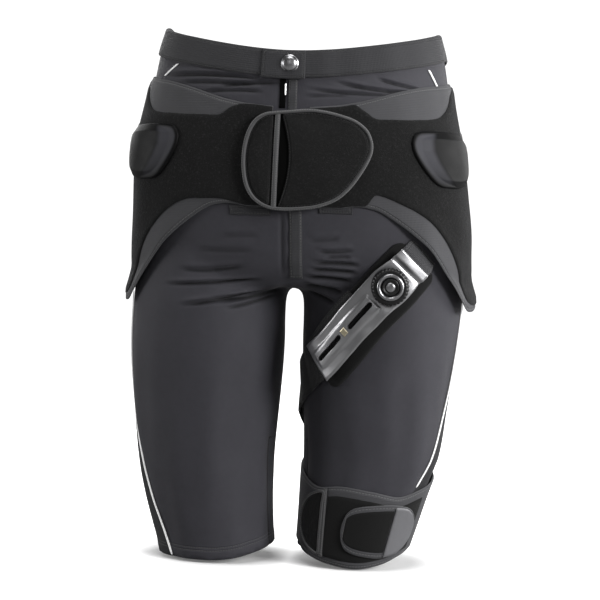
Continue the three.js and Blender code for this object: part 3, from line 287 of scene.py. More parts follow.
def on_belly(x, z, lift):
    """A point on the belly, x across on the closure's own face."""
    start = np.full(np.shape(x), -math.pi / 2)
    angle = halved(lambda a: trunk_middle(z) + (trunk_radius(a, z) + FLAP_FOOT) * np.sin(a) < x, start,
                   -start)
    return on_trunk(angle, z, lift)


def on_left(angle, z, lift):
    """A point on the left leg, or on the trunk where that stands out past it."""
    middle, back, wide, deep = leg_section(z)
    leg = 1 / np.hypot(np.sin(angle) / wide, np.cos(angle) / deep)

    def inside(r):
        x, y = middle + r * np.sin(angle) - trunk_middle(z), back - r * np.cos(angle)
        return np.hypot(x, y) < trunk_radius(np.arctan2(x, -y), z)

    reach = halved(inside, leg, np.full(np.shape(leg), 2 * HIP_HALF))
    extra = np.where((z > -CROTCH_DROP) & inside(leg), reach - leg, 0)
    return on_leg(angle, z, lift + extra)


def waist_top(angle):
    """Height of the waist's edge, which dips in front."""
    c = np.cos(angle)
    low = np.where(c > 0, WAIST_FRONT, WAIST_BACK)
    rounded = (np.sqrt(c * c + 0.0144) - 0.12) / (math.sqrt(1.0144) - 0.12)
    return low + (WAIST_SIDE - low) * (1 - rounded)


def hem_height(angle, side=-1):
    """Height of a leg's hem, which rises on the inner side, and on the left leg's outer side too."""
    inner = HEM_RISE * np.maximum(0, -np.sin(angle)) ** 2
    outer = 0.013 * smooth(np.sin(angle), 0.3, 0.85) * (np.asarray(side) > 0)
    return -HEM_DROP + inner + outer


def leg_height(drop):
    return -CROTCH_DROP - LEG_DROP * drop


def round_trunk(first, distance, z):
    """Angle round the trunk at a distance along it from a first angle, at one height."""
    angles = first + np.radians(np.arange(-150, 150.5, 0.5))
    path = on_trunk(angles, z, 0)
    run = np.concatenate([[0], np.cumsum(np.linalg.norm(np.diff(path, axis=0), axis=1))])
    return np.interp(distance + np.interp(first, angles, run), run, angles)


# The strap's route as close points, with its length
ROUTE_STEPS = 400
route_angle = np.linspace(47, -190, ROUTE_STEPS + 1)
route_z = leg_height(along(ROUTE, "angle", route_angle, "drop"))
route_angle = np.radians(route_angle)
route_point = on_left(route_angle, route_z, 0)
route_run = np.concatenate([[0], np.cumsum(np.linalg.norm(np.diff(route_point, axis=0), axis=1))])
route_middle, route_back = leg_section(route_z)[:2]
route_radius = np.hypot(route_point[:, 0] - route_middle, route_point[:, 1] - route_back)
route_turn = np.gradient(route_angle, route_run) * route_radius
route_fall = np.gradient(route_z, route_run)


def beside_route(on, run, across, lift):
    """A point beside the strap's route, up and towards the inside for a positive distance across."""
    pick = lambda values: np.interp(run, route_run, values)
    angle = pick(route_angle) + across * pick(route_fall) / pick(route_radius)
    return on(angle, pick(route_z) - across * pick(route_turn), lift)


def beside_strap(run, across, lift):
    return beside_route(on_left, run, across, lift)


def beside_plate(run, across, lift):
    return beside_route(on_leg, run, across, lift)


def route_frame(run):
    """Middle of the route at a run, with the directions across it, along it and out from the leg."""
    run = np.asarray(run, float)
    unit = lambda v: v / np.linalg.norm(v, axis=-1, keepdims=True)
    origin = beside_plate(run, 0, 0)
    ahead = unit(beside_plate(run + MM, 0, 0) - beside_plate(run - MM, 0, 0))
    side = unit(beside_plate(run, 4 * MM, 0) - beside_plate(run, -4 * MM, 0))
    out = unit(np.cross(side, ahead))
    away = np.sum(out * (beside_plate(run, 0, MM) - origin), axis=-1, keepdims=True)
    return origin, side, ahead, np.where(away > 0, out, -out)


# Tensioner plate, its slots and its dial by their run along the route, and the frame's axis of the dial
PLATE_START = float(np.interp(-math.radians(20.5), -route_angle, route_run))
PLATE_LONG = 0.142
PLATE_WIDE = 0.040
PLATE_END = PLATE_START + PLATE_LONG
DIAL_AT = PLATE_START + 0.033
DIAL_CENTRE = (0.102686, -0.083706, -0.233082)
DIAL_OUT = (0.118715, -0.992138, -0.039598)
UPPER_SLOT = (PLATE_START + 0.0560, PLATE_START + 0.0905)
LOWER_SLOT = (PLATE_START + 0.1000, PLATE_START + 0.1360)
SLOT_WIDE = 0.0056


def seam_angle(z, side):
    """Angle of a leg's side seam, which comes to the front near the left knee and on the right thigh."""
    turn = along(SEAM, "drop", -z / HEM_DROP, "angle")
    left = 9 * smooth(-z, 0.28, 0.47)
    right = 5.5 * smooth(-z, 0.18, 0.25) * (1 - smooth(-z, 0.42, 0.48))
    return np.radians(turn - np.where(np.asarray(side) > 0, left, right))


def on_plate(run, across, lift):
    """A point over the flat plate, whose lower half runs straighter than the strap's route."""
    origin, side, ahead, out = route_frame(run)
    across = across - 0.0036 * smooth(run - PLATE_START, 0.030, 0.115)
    return origin + side * np.asarray(across)[..., None] + out * np.asarray(lift)[..., None]


class Shader:
    """Places nodes in a tree, with their inputs given as sockets or plain values."""

    def __init__(self, tree):
        self.tree = tree

    def node(self, kind, settings=None, **inputs):
        made = self.tree.nodes.new(kind)
        for name, value in (settings or {}).items():
            setattr(made, name, value)
        for name, value in inputs.items():
            self.feed(made.inputs[name.replace("_", " ")], value)
        return made

    def feed(self, socket, value):
        if isinstance(value, bpy.types.NodeSocket):
            self.tree.links.new(value, socket)
        else:
            socket.default_value = value

    def math(self, operation, *values, clamp=False):
        made = self.tree.nodes.new("ShaderNodeMath")
        made.operation = operation
        made.use_clamp = clamp
        for socket, value in zip(made.inputs, values):
            self.feed(socket, value)
        return made.outputs[0]

    def mix(self, factor, a, b):
        made = self.node("ShaderNodeMix", {"data_type": "RGBA"})
        for index, value in ((0, factor), (6, a), (7, b)):
            self.feed(made.inputs[index], value)
        return made.outputs[2]

    def noise(self, vector, scale, detail=2.0, roughness=0.5):
        made = self.node("ShaderNodeTexNoise", Vector=vector, Scale=scale, Detail=detail,
                         Roughness=roughness)
        return made.outputs["Fac"]

    def turn(self, value, low, high):
        """0 below low, 1 above high, and an even turn between them."""
        made = self.node("ShaderNodeMapRange", {"interpolation_type": "SMOOTHSTEP"}, Value=value,
                         From_Min=low, From_Max=high)
        return made.outputs[0]

    def parts(self, vector):
        return self.node("ShaderNodeSeparateXYZ", Vector=vector).outputs

    def scaled(self, vector, scale):
        return self.node("ShaderNodeMapping", Vector=vector, Scale=scale).outputs[0]

    def uv(self, name):
        return self.node("ShaderNodeUVMap", {"uv_map": name}).outputs[0]

    def object(self):
        return self.node("ShaderNodeTexCoord").outputs["Object"]

    def attribute(self, name):
        return self.node("ShaderNodeAttribute", {"attribute_name": name}).outputs["Fac"]

    def place(self, group, **inputs):
        made = self.node("ShaderNodeGroup", {"node_tree": group})
        for name, value in inputs.items():
            self.feed(made.inputs[name.replace("_", " ")], value)
        return made.outputs


def new_group(name, inputs, outputs):
    """A shared effect with named inputs and outputs; gives its tree, its inside and its two ends."""
    tree = bpy.data.node_groups.new(name, "ShaderNodeTree")
    kinds = {"v": "NodeSocketVector", "f": "NodeSocketFloat", "c": "NodeSocketColor"}
    for title, kind in inputs:
        tree.interface.new_socket(title, in_out="INPUT", socket_type=kinds[kind])
    for title, kind in outputs:
        tree.interface.new_socket(title, in_out="OUTPUT", socket_type=kinds[kind])
    shader = Shader(tree)
    return tree, shader, shader.node("NodeGroupInput").outputs, shader.node("NodeGroupOutput").inputs


def knit_group():
    """Fine jersey: upright wales with small loops across them."""
    tree, sh, given, result = new_group("jersey", [("Place", "v"), ("Wale", "f")],
                                        [("Height", "f"), ("Tone", "f")])
    x, y, _ = sh.parts(given["Place"])
    turns = sh.math("DIVIDE", math.pi, given["Wale"])
    column = sh.math("ABSOLUTE", sh.math("SINE", sh.math("MULTIPLY", x, turns)))
    lean = sh.math("MULTIPLY", column, 0.8)
    course = sh.math("SINE", sh.math("ADD", sh.math("MULTIPLY", y, sh.math("MULTIPLY", turns, 1.5)), lean))
    height = sh.math("ADD", sh.math("MULTIPLY", column, 0.65), sh.math("MULTIPLY", course, 0.3))
    sh.feed(result["Height"], height)
    sh.feed(result["Tone"], sh.turn(height, -0.1, 0.9))
    return tree


def pile_group():
    """Looped pile: uneven loops that catch the light one by one."""
    tree, sh, given, result = new_group("pile", [("Place", "v"), ("Loop", "f")],
                                        [("Height", "f"), ("Speck", "f")])
    scale = sh.math("DIVIDE", 1.0, given["Loop"])
    cells = sh.node("ShaderNodeTexVoronoi", {"feature": "F1"}, Vector=given["Place"], Scale=scale,
                    Randomness=0.9)
    clumps = sh.noise(given["Place"], sh.math("MULTIPLY", scale, 0.35), 3.0, 0.6)
    round_top = sh.math("SUBTRACT", 1.0, cells.outputs["Distance"])
    sh.feed(result["Height"], sh.math("ADD", sh.math("MULTIPLY", round_top, 0.7), clumps))
    hue = sh.parts(cells.outputs["Color"])[0]
    bright = sh.math("MULTIPLY", sh.math("POWER", hue, 3.0), sh.turn(clumps, 0.35, 0.7))
    sh.feed(result["Speck"], bright)
    return tree


def weave_group():
    """Plain woven tape: warp and weft passing over each other."""
    tree, sh, given, result = new_group("weave", [("Place", "v"), ("Yarn", "f")],
                                        [("Height", "f"), ("Tone", "f")])
    x, y, _ = sh.parts(given["Place"])
    turns = sh.math("DIVIDE", math.pi, given["Yarn"])
    warp = sh.math("SINE", sh.math("MULTIPLY", x, turns))
    weft = sh.math("SINE", sh.math("MULTIPLY", y, turns))
    over = sh.math("MULTIPLY", warp, weft)
    ridge = sh.math("ABSOLUTE", warp)
    height = sh.math("ADD", sh.math("MULTIPLY", over, 0.5), sh.math("MULTIPLY", ridge, 0.5))
    sh.feed(result["Height"], height)
    sh.feed(result["Tone"], sh.turn(height, -0.3, 0.9))
    return tree


def stitch_group():
    """A row of stitches at a distance from an edge, with its run along that edge."""
    names = [("Run", "f"), ("Distance", "f"), ("Offset", "f"), ("Stitch", "f"), ("Thread", "f")]
    tree, sh, given, result = new_group("stitches", names, [("Mask", "f"), ("Height", "f")])
    away = sh.math("ABSOLUTE", sh.math("SUBTRACT", given["Distance"], given["Offset"]))
    across = sh.math("DIVIDE", away, given["Thread"])
    line = sh.math("SUBTRACT", 1.0, sh.turn(across, 0.35, 0.75))
    phase = sh.math("FRACT", sh.math("DIVIDE", given["Run"], given["Stitch"]))
    middle = sh.math("ABSOLUTE", sh.math("SUBTRACT", phase, 0.5))
    dash = sh.math("SUBTRACT", 1.0, sh.turn(middle, 0.3, 0.42))
    mask = sh.math("MULTIPLY", line, dash)
    sink = sh.math("SUBTRACT", 1.0, sh.turn(across, 0.6, 2.4))
    sh.feed(result["Mask"], mask)
    sh.feed(result["Height"], sh.math("SUBTRACT", sh.math("MULTIPLY", mask, 0.7), sink))
    return tree


def handled_group():
    """Uneven tone of used cloth, and small threads of lint."""
    tree, sh, given, result = new_group("handled", [("Place", "v"), ("Amount", "f")],
                                        [("Tone", "f"), ("Lint", "f")])
    broad = sh.noise(given["Place"], 14.0, 4.0, 0.6)
    fine = sh.noise(given["Place"], 160.0, 3.0, 0.6)
    both = sh.math("ADD", sh.math("MULTIPLY", broad, 0.7), sh.math("MULTIPLY", fine, 0.3))
    spread = sh.math("MULTIPLY", sh.math("SUBTRACT", both, 0.5), given["Amount"])
    sh.feed(result["Tone"], sh.math("ADD", spread, 1.0))
    threads = sh.noise(sh.scaled(given["Place"], (1.0, 0.25, 1.0)), 900.0, 1.0)
    sh.feed(result["Lint"], sh.turn(threads, 0.7, 0.78))
    return tree


JERSEY = knit_group()
PILE = pile_group()
WEAVE = weave_group()
STITCHES = stitch_group()
HANDLED = handled_group()


def new_material(name, **constants):
    """A material with its shader, the shader's plain values set on it, and a helper to place nodes."""
    material = bpy.data.materials.new(name)
    material.use_nodes = True
    shader = Shader(material.node_tree)
    surface = material.node_tree.nodes["Principled BSDF"]
    for title, value in constants.items():
        surface.inputs[title.replace("_", " ")].default_value = value
    return material, shader, surface.inputs


def bump(sh, surface, height, depth, strength=1.0):
    made = sh.node("ShaderNodeBump", Height=height, Distance=depth, Strength=strength)
    sh.feed(surface["Normal"], made.outputs[0])


def toned(sh, colour, tone):
    """A colour made lighter or darker by a tone."""
    made = sh.node("ShaderNodeVectorMath", {"operation": "SCALE"}, Scale=tone)
    made.inputs[0].default_value = colour[:3]
    return made.outputs[0]


def grey(value, blue=0.0):
    return (value, value, value * (1 + blue), 1.0)


def shorts_material():
    material, sh, surface = new_material("shorts jersey", Sheen_Weight=0.06, Sheen_Roughness=0.5,
                                         Specular_IOR_Level=0.25)
    place = sh.object()
    cloth_place = sh.node("ShaderNodeCombineXYZ", X=sh.attribute("round"), Y=sh.parts(place)[2]).outputs[0]
    jersey = sh.place(JERSEY, Place=cloth_place, Wale=0.0007)
    used = sh.place(HANDLED, Place=place, Amount=0.6)
    front = toned(sh, (0.0435, 0.0425, 0.0505), used["Tone"])
    behind = toned(sh, grey(0.020, 0.12), used["Tone"])
    side = sh.attribute("behind_seam")
    colour = sh.mix(sh.turn(side, -0.0004, 0.0004), front, behind)
    seam = sh.math("SUBTRACT", 1.0, sh.turn(sh.math("ABSOLUTE", sh.attribute("vent")), 0.0008, 0.0018))
    colour = sh.mix(seam, colour, grey(0.008))
    # Painted shade: the colour darkens towards near-black in the cores of the creases
    colour = sh.mix(sh.math("MULTIPLY", sh.attribute("crease_shade"), 0.9), colour, grey(0.003))
    hem = sh.place(STITCHES, Run=sh.attribute("round"), Distance=sh.attribute("hem"), Offset=0.0095,
                   Stitch=0.0028, Thread=0.0007)
    second = sh.place(STITCHES, Run=sh.attribute("round"), Distance=sh.attribute("hem"), Offset=0.0125,
                      Stitch=0.0028, Thread=0.0007)
    rows = sh.math("MAXIMUM", hem["Mask"], second["Mask"])
    colour = sh.mix(sh.math("MULTIPLY", rows, 0.8), colour, grey(0.10))
    sh.feed(surface["Base Color"], colour)
    sh.feed(surface["Roughness"], sh.math("ADD", 0.62, sh.math("MULTIPLY", jersey["Tone"], 0.16)))
    height = sh.math("ADD", sh.math("MULTIPLY", jersey["Height"], 0.2),
                     sh.math("ADD", hem["Height"], second["Height"]))
    height = sh.math("SUBTRACT", height, sh.math("MULTIPLY", seam, 2.0))
    bump(sh, surface, height, 0.0004)
    return material


def band_material():
    material, sh, surface = new_material("folded band", Sheen_Weight=0.1, Specular_IOR_Level=0.3)
    place = sh.uv("Cloth")
    run, rim, _ = sh.parts(sh.uv("Edge"))
    rib = sh.place(JERSEY, Place=place, Wale=0.0016)
    used = sh.place(HANDLED, Place=sh.object(), Amount=0.4)
    row = sh.place(STITCHES, Run=run, Distance=rim, Offset=0.0022, Stitch=0.0028, Thread=0.0006)
    colour = sh.mix(sh.math("MULTIPLY", row["Mask"], 0.7), toned(sh, grey(0.029, 0.1), used["Tone"]),
                    grey(0.045))
    sh.feed(surface["Base Color"], colour)
    sh.feed(surface["Roughness"], sh.math("ADD", 0.66, sh.math("MULTIPLY", rib["Tone"], 0.14)))
    bump(sh, surface, sh.math("ADD", sh.math("MULTIPLY", rib["Height"], 0.4), row["Height"]), 0.0004)
    return material


def plush_material(name, tone=0.0105, row=None):
    """Black looped pile; row gives the distance of a row of stitches from the rim."""
    material, sh, surface = new_material(name, Sheen_Weight=0.14, Sheen_Roughness=0.45,
                                         Specular_IOR_Level=0.12, Sheen_Tint=(0.75, 0.75, 0.78, 1))
    place = sh.object()
    pile = sh.place(PILE, Place=place, Loop=0.0009)
    used = sh.place(HANDLED, Place=place, Amount=0.7)
    dark = toned(sh, grey(tone), used["Tone"])
    colour = sh.mix(sh.math("MULTIPLY", pile["Speck"], 0.35), dark, grey(0.045))
    colour = sh.mix(sh.math("MULTIPLY", used["Lint"], 0.08), colour, grey(0.10))
    height = pile["Height"]
    if row is not None:
        run, rim, _ = sh.parts(sh.uv("Edge"))
        line = sh.place(STITCHES, Run=run, Distance=rim, Offset=row, Stitch=0.003, Thread=0.0008)
        colour = sh.mix(sh.math("MULTIPLY", line["Mask"], 0.8), colour, grey(0.035))
        height = sh.math("ADD", height, sh.math("MULTIPLY", line["Height"], 2.0))
    sh.feed(surface["Base Color"], colour)
    sh.feed(surface["Roughness"], sh.math("SUBTRACT", 0.98, sh.math("MULTIPLY", pile["Speck"], 0.3)))
    bump(sh, surface, height, 0.0004)
    return material


def foam_material(name, tone=0.009, sheen=0.08):
    """Black foam with a smooth skin of fine pores."""
    material, sh, surface = new_material(name, Sheen_Weight=sheen, Specular_IOR_Level=2 * sheen)
    place = sh.object()
    pores = sh.noise(place, 1400.0, 3.0, 0.6)
    used = sh.place(HANDLED, Place=place, Amount=0.6)
    sh.feed(surface["Base Color"], toned(sh, grey(tone), used["Tone"]))
    sh.feed(surface["Roughness"], sh.math("ADD", 0.78, sh.math("MULTIPLY", pores, 0.2)))
    bump(sh, surface, pores, 0.0002)
    return material


def laminate_material(name, tone=0.055, row=None):
    """Smooth cloth face on foam, with a dotted knit and a lighter cut edge."""
    material, sh, surface = new_material(name, Sheen_Weight=0.1, Sheen_Roughness=0.5,
                                         Specular_IOR_Level=0.3)
    place = sh.uv("Cloth")
    run, rim, _ = sh.parts(sh.uv("Edge"))
    knit = sh.place(JERSEY, Place=place, Wale=0.0013)
    used = sh.place(HANDLED, Place=sh.object(), Amount=0.4)
    colour = toned(sh, grey(tone, 0.08), used["Tone"])
    height = sh.math("MULTIPLY", knit["Height"], 0.35)
    if row is not None:
        line = sh.place(STITCHES, Run=run, Distance=rim, Offset=row, Stitch=0.003, Thread=0.0007)
        colour = sh.mix(sh.math("MULTIPLY", line["Mask"], 0.8), colour, grey(tone * 2.4))
        height = sh.math("ADD", height, line["Height"])
    edge = sh.math("SUBTRACT", 1.0, sh.turn(rim, 0.0001, 0.0007))
    colour = sh.mix(sh.math("MULTIPLY", edge, 0.5), colour, grey(tone * 1.9))
    sh.feed(surface["Base Color"], colour)
    sh.feed(surface["Roughness"], sh.math("ADD", 0.7, sh.math("MULTIPLY", knit["Tone"], 0.14)))
    bump(sh, surface, height, 0.0004)
    return material


def binding_material():
    """Woven edge tape with a zigzag of thread along its middle."""
    material, sh, surface = new_material("edge tape", Sheen_Weight=0.1, Specular_IOR_Level=0.35)
    run, rim, _ = sh.parts(sh.uv("Edge"))
    weave = sh.place(WEAVE, Place=sh.uv("Edge"), Yarn=0.0007)
    used = sh.place(HANDLED, Place=sh.object(), Amount=0.35)
    rows = [sh.place(STITCHES, Run=run, Distance=rim, Offset=offset, Stitch=0.0024, Thread=0.0006)
            for offset in (0.0011, 0.0043)]
    mask = sh.math("MAXIMUM", rows[0]["Mask"], rows[1]["Mask"])
    colour = sh.mix(sh.math("MULTIPLY", mask, 0.8), toned(sh, grey(0.072, 0.03), used["Tone"]), grey(0.17))
    sh.feed(surface["Base Color"], colour)
    sh.feed(surface["Roughness"], sh.math("ADD", 0.62, sh.math("MULTIPLY", weave["Tone"], 0.2)))
    height = sh.math("ADD", sh.math("MULTIPLY", weave["Height"], 0.5),
                     sh.math("ADD", rows[0]["Height"], rows[1]["Height"]))
    bump(sh, surface, height, 0.0003)
    return material


def webbing_material(name, tone=0.034):
    material, sh, surface = new_material(name, Sheen_Weight=0.1, Specular_IOR_Level=0.35)
    run, rim, _ = sh.parts(sh.uv("Edge"))
    weave = sh.place(WEAVE, Place=sh.uv("Cloth"), Yarn=0.0014)
    used = sh.place(HANDLED, Place=sh.object(), Amount=0.4)
    shade = sh.math("MULTIPLY", used["Tone"], sh.math("ADD", 0.75, sh.math("MULTIPLY", weave["Tone"], 0.5)))
    row = sh.place(STITCHES, Run=run, Distance=rim, Offset=0.0028, Stitch=0.0032, Thread=0.0007)
    colour = sh.mix(sh.math("MULTIPLY", row["Mask"], 0.7), toned(sh, grey(tone, 0.08), shade),
                    grey(tone * 2.2))
    sh.feed(surface["Base Color"], colour)
    sh.feed(surface["Roughness"], sh.math("ADD", 0.55, sh.math("MULTIPLY", weave["Tone"], 0.2)))
    bump(sh, surface, sh.math("ADD", weave["Height"], row["Height"]), 0.0005)
    return material


def reflective_material():
    """Silver-white tape of tiny beads, with a faint glow painted on in place of their bright reflection."""
    material, sh, surface = new_material("reflective tape", Specular_IOR_Level=0.6)
    place = sh.object()
    used = sh.place(HANDLED, Place=place, Amount=0.25)
    sh.feed(surface["Base Color"], toned(sh, grey(0.9, -0.01), used["Tone"]))
    # Painted glow: the tape gives off a little white light of its own, standing in for its bead reflection
    surface["Emission Color"].default_value = (1, 1, 1, 1)
    surface["Emission Strength"].default_value = 0.3
    beads = sh.node("ShaderNodeTexVoronoi", Vector=place, Scale=2600.0)
    sh.feed(surface["Roughness"], sh.math("ADD", 0.32, sh.math("MULTIPLY", beads.outputs["Distance"], 0.3)))
    bump(sh, surface, beads.outputs["Distance"], 0.0001)
    return material


def moulded_material(name, tone=0.013, rough=0.36, grain=0.00006, gloss=0.5, facet=None):
    """Satin moulded plastic with a fine grain; facet is the lighter tone painted along a pad's front facet,
    a painted highlight where that side faces the light.
    """
    material, sh, surface = new_material(name, Specular_IOR_Level=gloss)
    place = sh.object()
    used = sh.place(HANDLED, Place=place, Amount=0.5)
    skin = sh.noise(place, 1500.0, 2.0)
    rub = sh.noise(place, 60.0, 4.0, 0.65)
    colour = toned(sh, grey(tone, 0.06), used["Tone"])
    if facet is not None:
        # Painted highlight: the pad's front facet gets a lighter colour where the light falls on it
        colour = sh.mix(sh.parts(sh.uv("Edge"))[0], colour, grey(facet, 0.15))
    sh.feed(surface["Base Color"], colour)
    spread = sh.math("MULTIPLY", sh.math("SUBTRACT", rub, 0.5), 0.22)
    sh.feed(surface["Roughness"], sh.math("ADD", spread, rough))
    bump(sh, surface, skin, grain)
    return material


def gunmetal_material():
    """Dark satin plate with a soft gloss, rubbed a little along its length."""
    material, sh, surface = new_material("gunmetal plate", Specular_IOR_Level=0.6, Coat_Roughness=0.12)
    place = sh.object()
    rub = sh.noise(place, 45.0, 3.0, 0.5)
    scratch = sh.noise(sh.scaled(place, (1.0, 1.0, 0.12)), 700.0, 2.0, 0.6)
    tone = sh.math("ADD", 0.9, sh.math("MULTIPLY", rub, 0.2))
    sh.feed(surface["Base Color"], toned(sh, (0.36, 0.36, 0.37), tone))
    surface["Metallic"].default_value = 0.85
    surface["Coat Weight"].default_value = 0.15
    worn = sh.math("MULTIPLY", sh.turn(scratch, 0.55, 0.8), 0.08)
    sh.feed(surface["Roughness"], sh.math("ADD", sh.math("ADD", 0.3, sh.math("MULTIPLY", rub, 0.1)), worn))
    waves = sh.noise(place, 26.0, 1.0, 0.3)
    bump(sh, surface, waves, 0.0016, 0.5)
    return material


def metal_material(name, colour, rough, brushed=0.12):
    material, sh, surface = new_material(name, Metallic=1.0)
    place = sh.object()
    lines = sh.noise(sh.scaled(place, (1.0, 1.0, 12.0)), 400.0, 2.0, 0.6)
    worn = sh.noise(place, 90.0, 4.0, 0.6)
    sh.feed(surface["Base Color"], toned(sh, colour, sh.math("ADD", 0.85, sh.math("MULTIPLY", worn, 0.3))))
    sh.feed(surface["Roughness"], sh.math("ADD", rough, sh.math("MULTIPLY", lines, brushed)))
    bump(sh, surface, lines, 0.00003)
    return material


class Finishes:
    """Every finish of the brace, named for what it is used on."""
    shorts = shorts_material()
    band = band_material()
    belt_plush = plush_material("belt pile")
    flap_plush = plush_material("flap pile", tone=0.0115, row=0.0016)
    foam = foam_material("backing foam")
    laminate = laminate_material("belt laminate", row=0.0030)
    # Near-black: the closure's own dark lining, deepened so its finger pocket reads as shade, and the
    # painted shadow sheet in the fly's gap
    lining_and_shadow = foam_material("closure lining", 0.003, 0.01)
    cuff_laminate = laminate_material("cuff laminate", 0.062, row=0.0030)
    fly = laminate_material("fly jersey", 0.040, row=0.0016)
    tape = binding_material()
    webbing = webbing_material("side strap webbing")
    thigh_webbing = webbing_material("thigh strap webbing", 0.012)
    top_webbing = webbing_material("top webbing", 0.05)
    piping = reflective_material()
    # Pads: a dark face, with a painted highlight on the front facet
    pad = moulded_material("pad moulding", 0.004, 0.55, gloss=0.12, facet=0.05)
    grip = moulded_material("grip moulding", 0.14, 0.5)
    rubber = moulded_material("dial rubber", 0.006, 0.34, 0.0001, 0.4)
    plate = gunmetal_material()
    base = moulded_material("dial base lacquer", 0.02, 0.3)
    steel = metal_material("satin steel", (0.36, 0.36, 0.37), 0.24)
    snap = metal_material("snap steel", (0.36, 0.36, 0.37), 0.27)
    fastener = metal_material("slide fastener steel", (0.8, 0.8, 0.8), 0.3)
    brass = metal_material("marker brass", (0.78, 0.7, 0.5), 0.3)


def finish_piece(bm, name, material, slot, nodes=(), body="brace", wall=None, edge=None):
    """Makes the piece's object; wall gives cloth its thickness inwards, and edge rounds its corners."""
    mesh = bpy.data.meshes.new(name)
    bm.to_mesh(mesh)
    bm.free()
    mesh.polygons.foreach_set("use_smooth", np.ones(len(mesh.polygons), bool))
    mesh.materials.append(material)
    piece = bpy.data.objects.new(name, mesh)
    bpy.context.scene.collection.objects.link(piece)
    if wall:
        solidify = piece.modifiers.new("wall", "SOLIDIFY")
        solidify.thickness = wall
        solidify.offset = -1
        if "thick" in mesh.attributes:
            group = piece.vertex_groups.new(name="wall")
            for i, value in enumerate(mesh.attributes["thick"].data):
                group.add([i], float(value.value), "REPLACE")
            solidify.vertex_group = "wall"
    if edge:
        bevel = piece.modifiers.new("edge", "BEVEL")
        bevel.width = edge
        bevel.segments = 2
        bevel.limit_method = "ANGLE"
        bevel.angle_limit = math.radians(50)
    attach(piece, body)
    if nodes:
        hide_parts(*nodes)
    return piece


MERGE = 0.01 * MM


def laid_grid(columns, rows, place, tube=False):
    """A grid of cells laid on a form, or a tube that closes on itself. place(s, t) gives, for s and t from
    0 to 1, the points, points a little further out, the wall's share, and the cloth's and edge's places."""
    bm = bmesh.new()
    bmesh.ops.create_grid(bm, x_segments=columns, y_segments=rows, size=0.5)
    bm.verts.index_update()
    st = np.array([v.co[:2] for v in bm.verts]) + 0.5
    made = place(st[:, 0], st[:, 1])
    cloth = bm.loops.layers.uv.new("Cloth")
    edge = bm.loops.layers.uv.new("Edge")
    thick = bm.verts.layers.float.new("thick")
    for v, where, share in zip(bm.verts, made["points"], made["share"]):
        v.co = where
        v[thick] = share
    bm.normal_update()
    facing = 0.0
    for face in bm.faces:
        corner = face.verts[0].index
        facing += face.normal.dot(Vector(made["out"][corner] - made["points"][corner])) * face.calc_area()
        for loop in face.loops:
            i = loop.vert.index
            loop[cloth].uv = made["cloth"][i]
            loop[edge].uv = made["edge"][i]
    if facing < 0:
        bmesh.ops.reverse_faces(bm, faces=bm.faces)
    bmesh.ops.remove_doubles(bm, verts=bm.verts, dist=MERGE)
    if tube:
        bmesh.ops.recalc_face_normals(bm, faces=bm.faces)
    return bm


def soft_rim(distance, soft, least=0.35):
    """Share of the full wall near a rim, rounded over a soft distance."""
    d = np.clip(distance / soft, 0, 1)
    return least + (1 - least) * np.sqrt(1 - (1 - d) ** 2)


def cloth(name, at, shape, columns, rows, foot, wall, material, slot, nodes, soft=0.003, edge=0.0004,
          swell=None, least=0.35):
    """A piece of cloth or foam over a form: shape(s, t) gives u, v, the distance to the rim and the run
    along it; foot is its underside and swell an extra lift of its face."""
    def place(s, t):
        u, v, rim, run, width, height = shape(s, t)
        share = soft_rim(rim, soft, least)
        under = foot(u, v) if callable(foot) else foot
        extra = swell(u, v, rim) if swell else 0.0
        lift = under + wall * share + extra * share
        return {"points": at(u, v, lift), "out": at(u, v, lift + MM), "share": np.clip(share, 0, 1),
                "cloth": np.stack([width, height], -1), "edge": np.stack([run, rim], -1)}
    bm = laid_grid(columns, rows, place)
    return finish_piece(bm, name, material, slot, nodes, wall=wall, edge=edge)


def level(value):
    """An edge of a piece at one height or one distance across."""
    return lambda u: np.full(np.shape(u), value)


def band_shape(first, last, low, high, reach, joined=False):
    """A piece between two edges: u runs from first to last, low(u) and high(u) are its foot and top,
    and reach is how many metres one u is."""
    def shape(s, t):
        u = first + (last - first) * s
        bottom, top = low(u), high(u)
        v = bottom + (top - bottom) * t
        long = abs(last - first) * reach
        up = np.minimum(v - bottom, top - v)
        ends = np.minimum(s, 1 - s) * long
        rim = up if joined else np.minimum(up, ends)
        run = np.where(up <= ends, s * long, v - bottom)
        return u, v, rim, run, u * reach, v
    return shape


def curve_through(spots, count):
    """Points at even distances on a smooth closed curve through spots."""
    padded = np.vstack([spots[-1], spots, spots[0], spots[1]])
    fine = []
    for a, b, c, d in zip(padded, padded[1:], padded[2:], padded[3:]):
        t = np.linspace(0, 1, 24, endpoint=False)[:, None]
        fine.append(0.5 * (2 * b + (c - a) * t + (2 * a - 5 * b + 4 * c - d) * t**2
                           + (3 * b - a - 3 * c + d) * t**3))
    fine = np.vstack(fine + [spots[:1]])
    run = np.concatenate([[0], np.cumsum(np.linalg.norm(np.diff(fine, axis=0), axis=1))])
    wanted = np.linspace(0, run[-1], count + 1)
    return np.stack([np.interp(wanted, run, fine[:, k]) for k in (0, 1)], -1)


def inward(outline):
    """Unit directions into a closed outline, whose last point is its first again."""
    ring = outline[:-1]
    step = np.roll(ring, -1, axis=0) - np.roll(ring, 1, axis=0)
    step /= np.linalg.norm(step, axis=1, keepdims=True)
    area = np.sum(ring[:, 0] * np.roll(ring[:, 1], -1) - np.roll(ring[:, 0], -1) * ring[:, 1])
    normal = np.stack([-step[:, 1], step[:, 0]], -1) * np.sign(area)
    return np.vstack([normal, normal[:1]])


def rim_distance(spot, outline):
    """Distance from points to a closed outline."""
    start = outline[:-1]
    step = outline[1:] - start
    off = spot[:, None] - start
    share = np.clip(np.sum(off * step, axis=2) / np.maximum(np.sum(step * step, axis=1), 1e-14), 0, 1)
    return np.linalg.norm(off - share[..., None] * step, axis=2).min(axis=1)


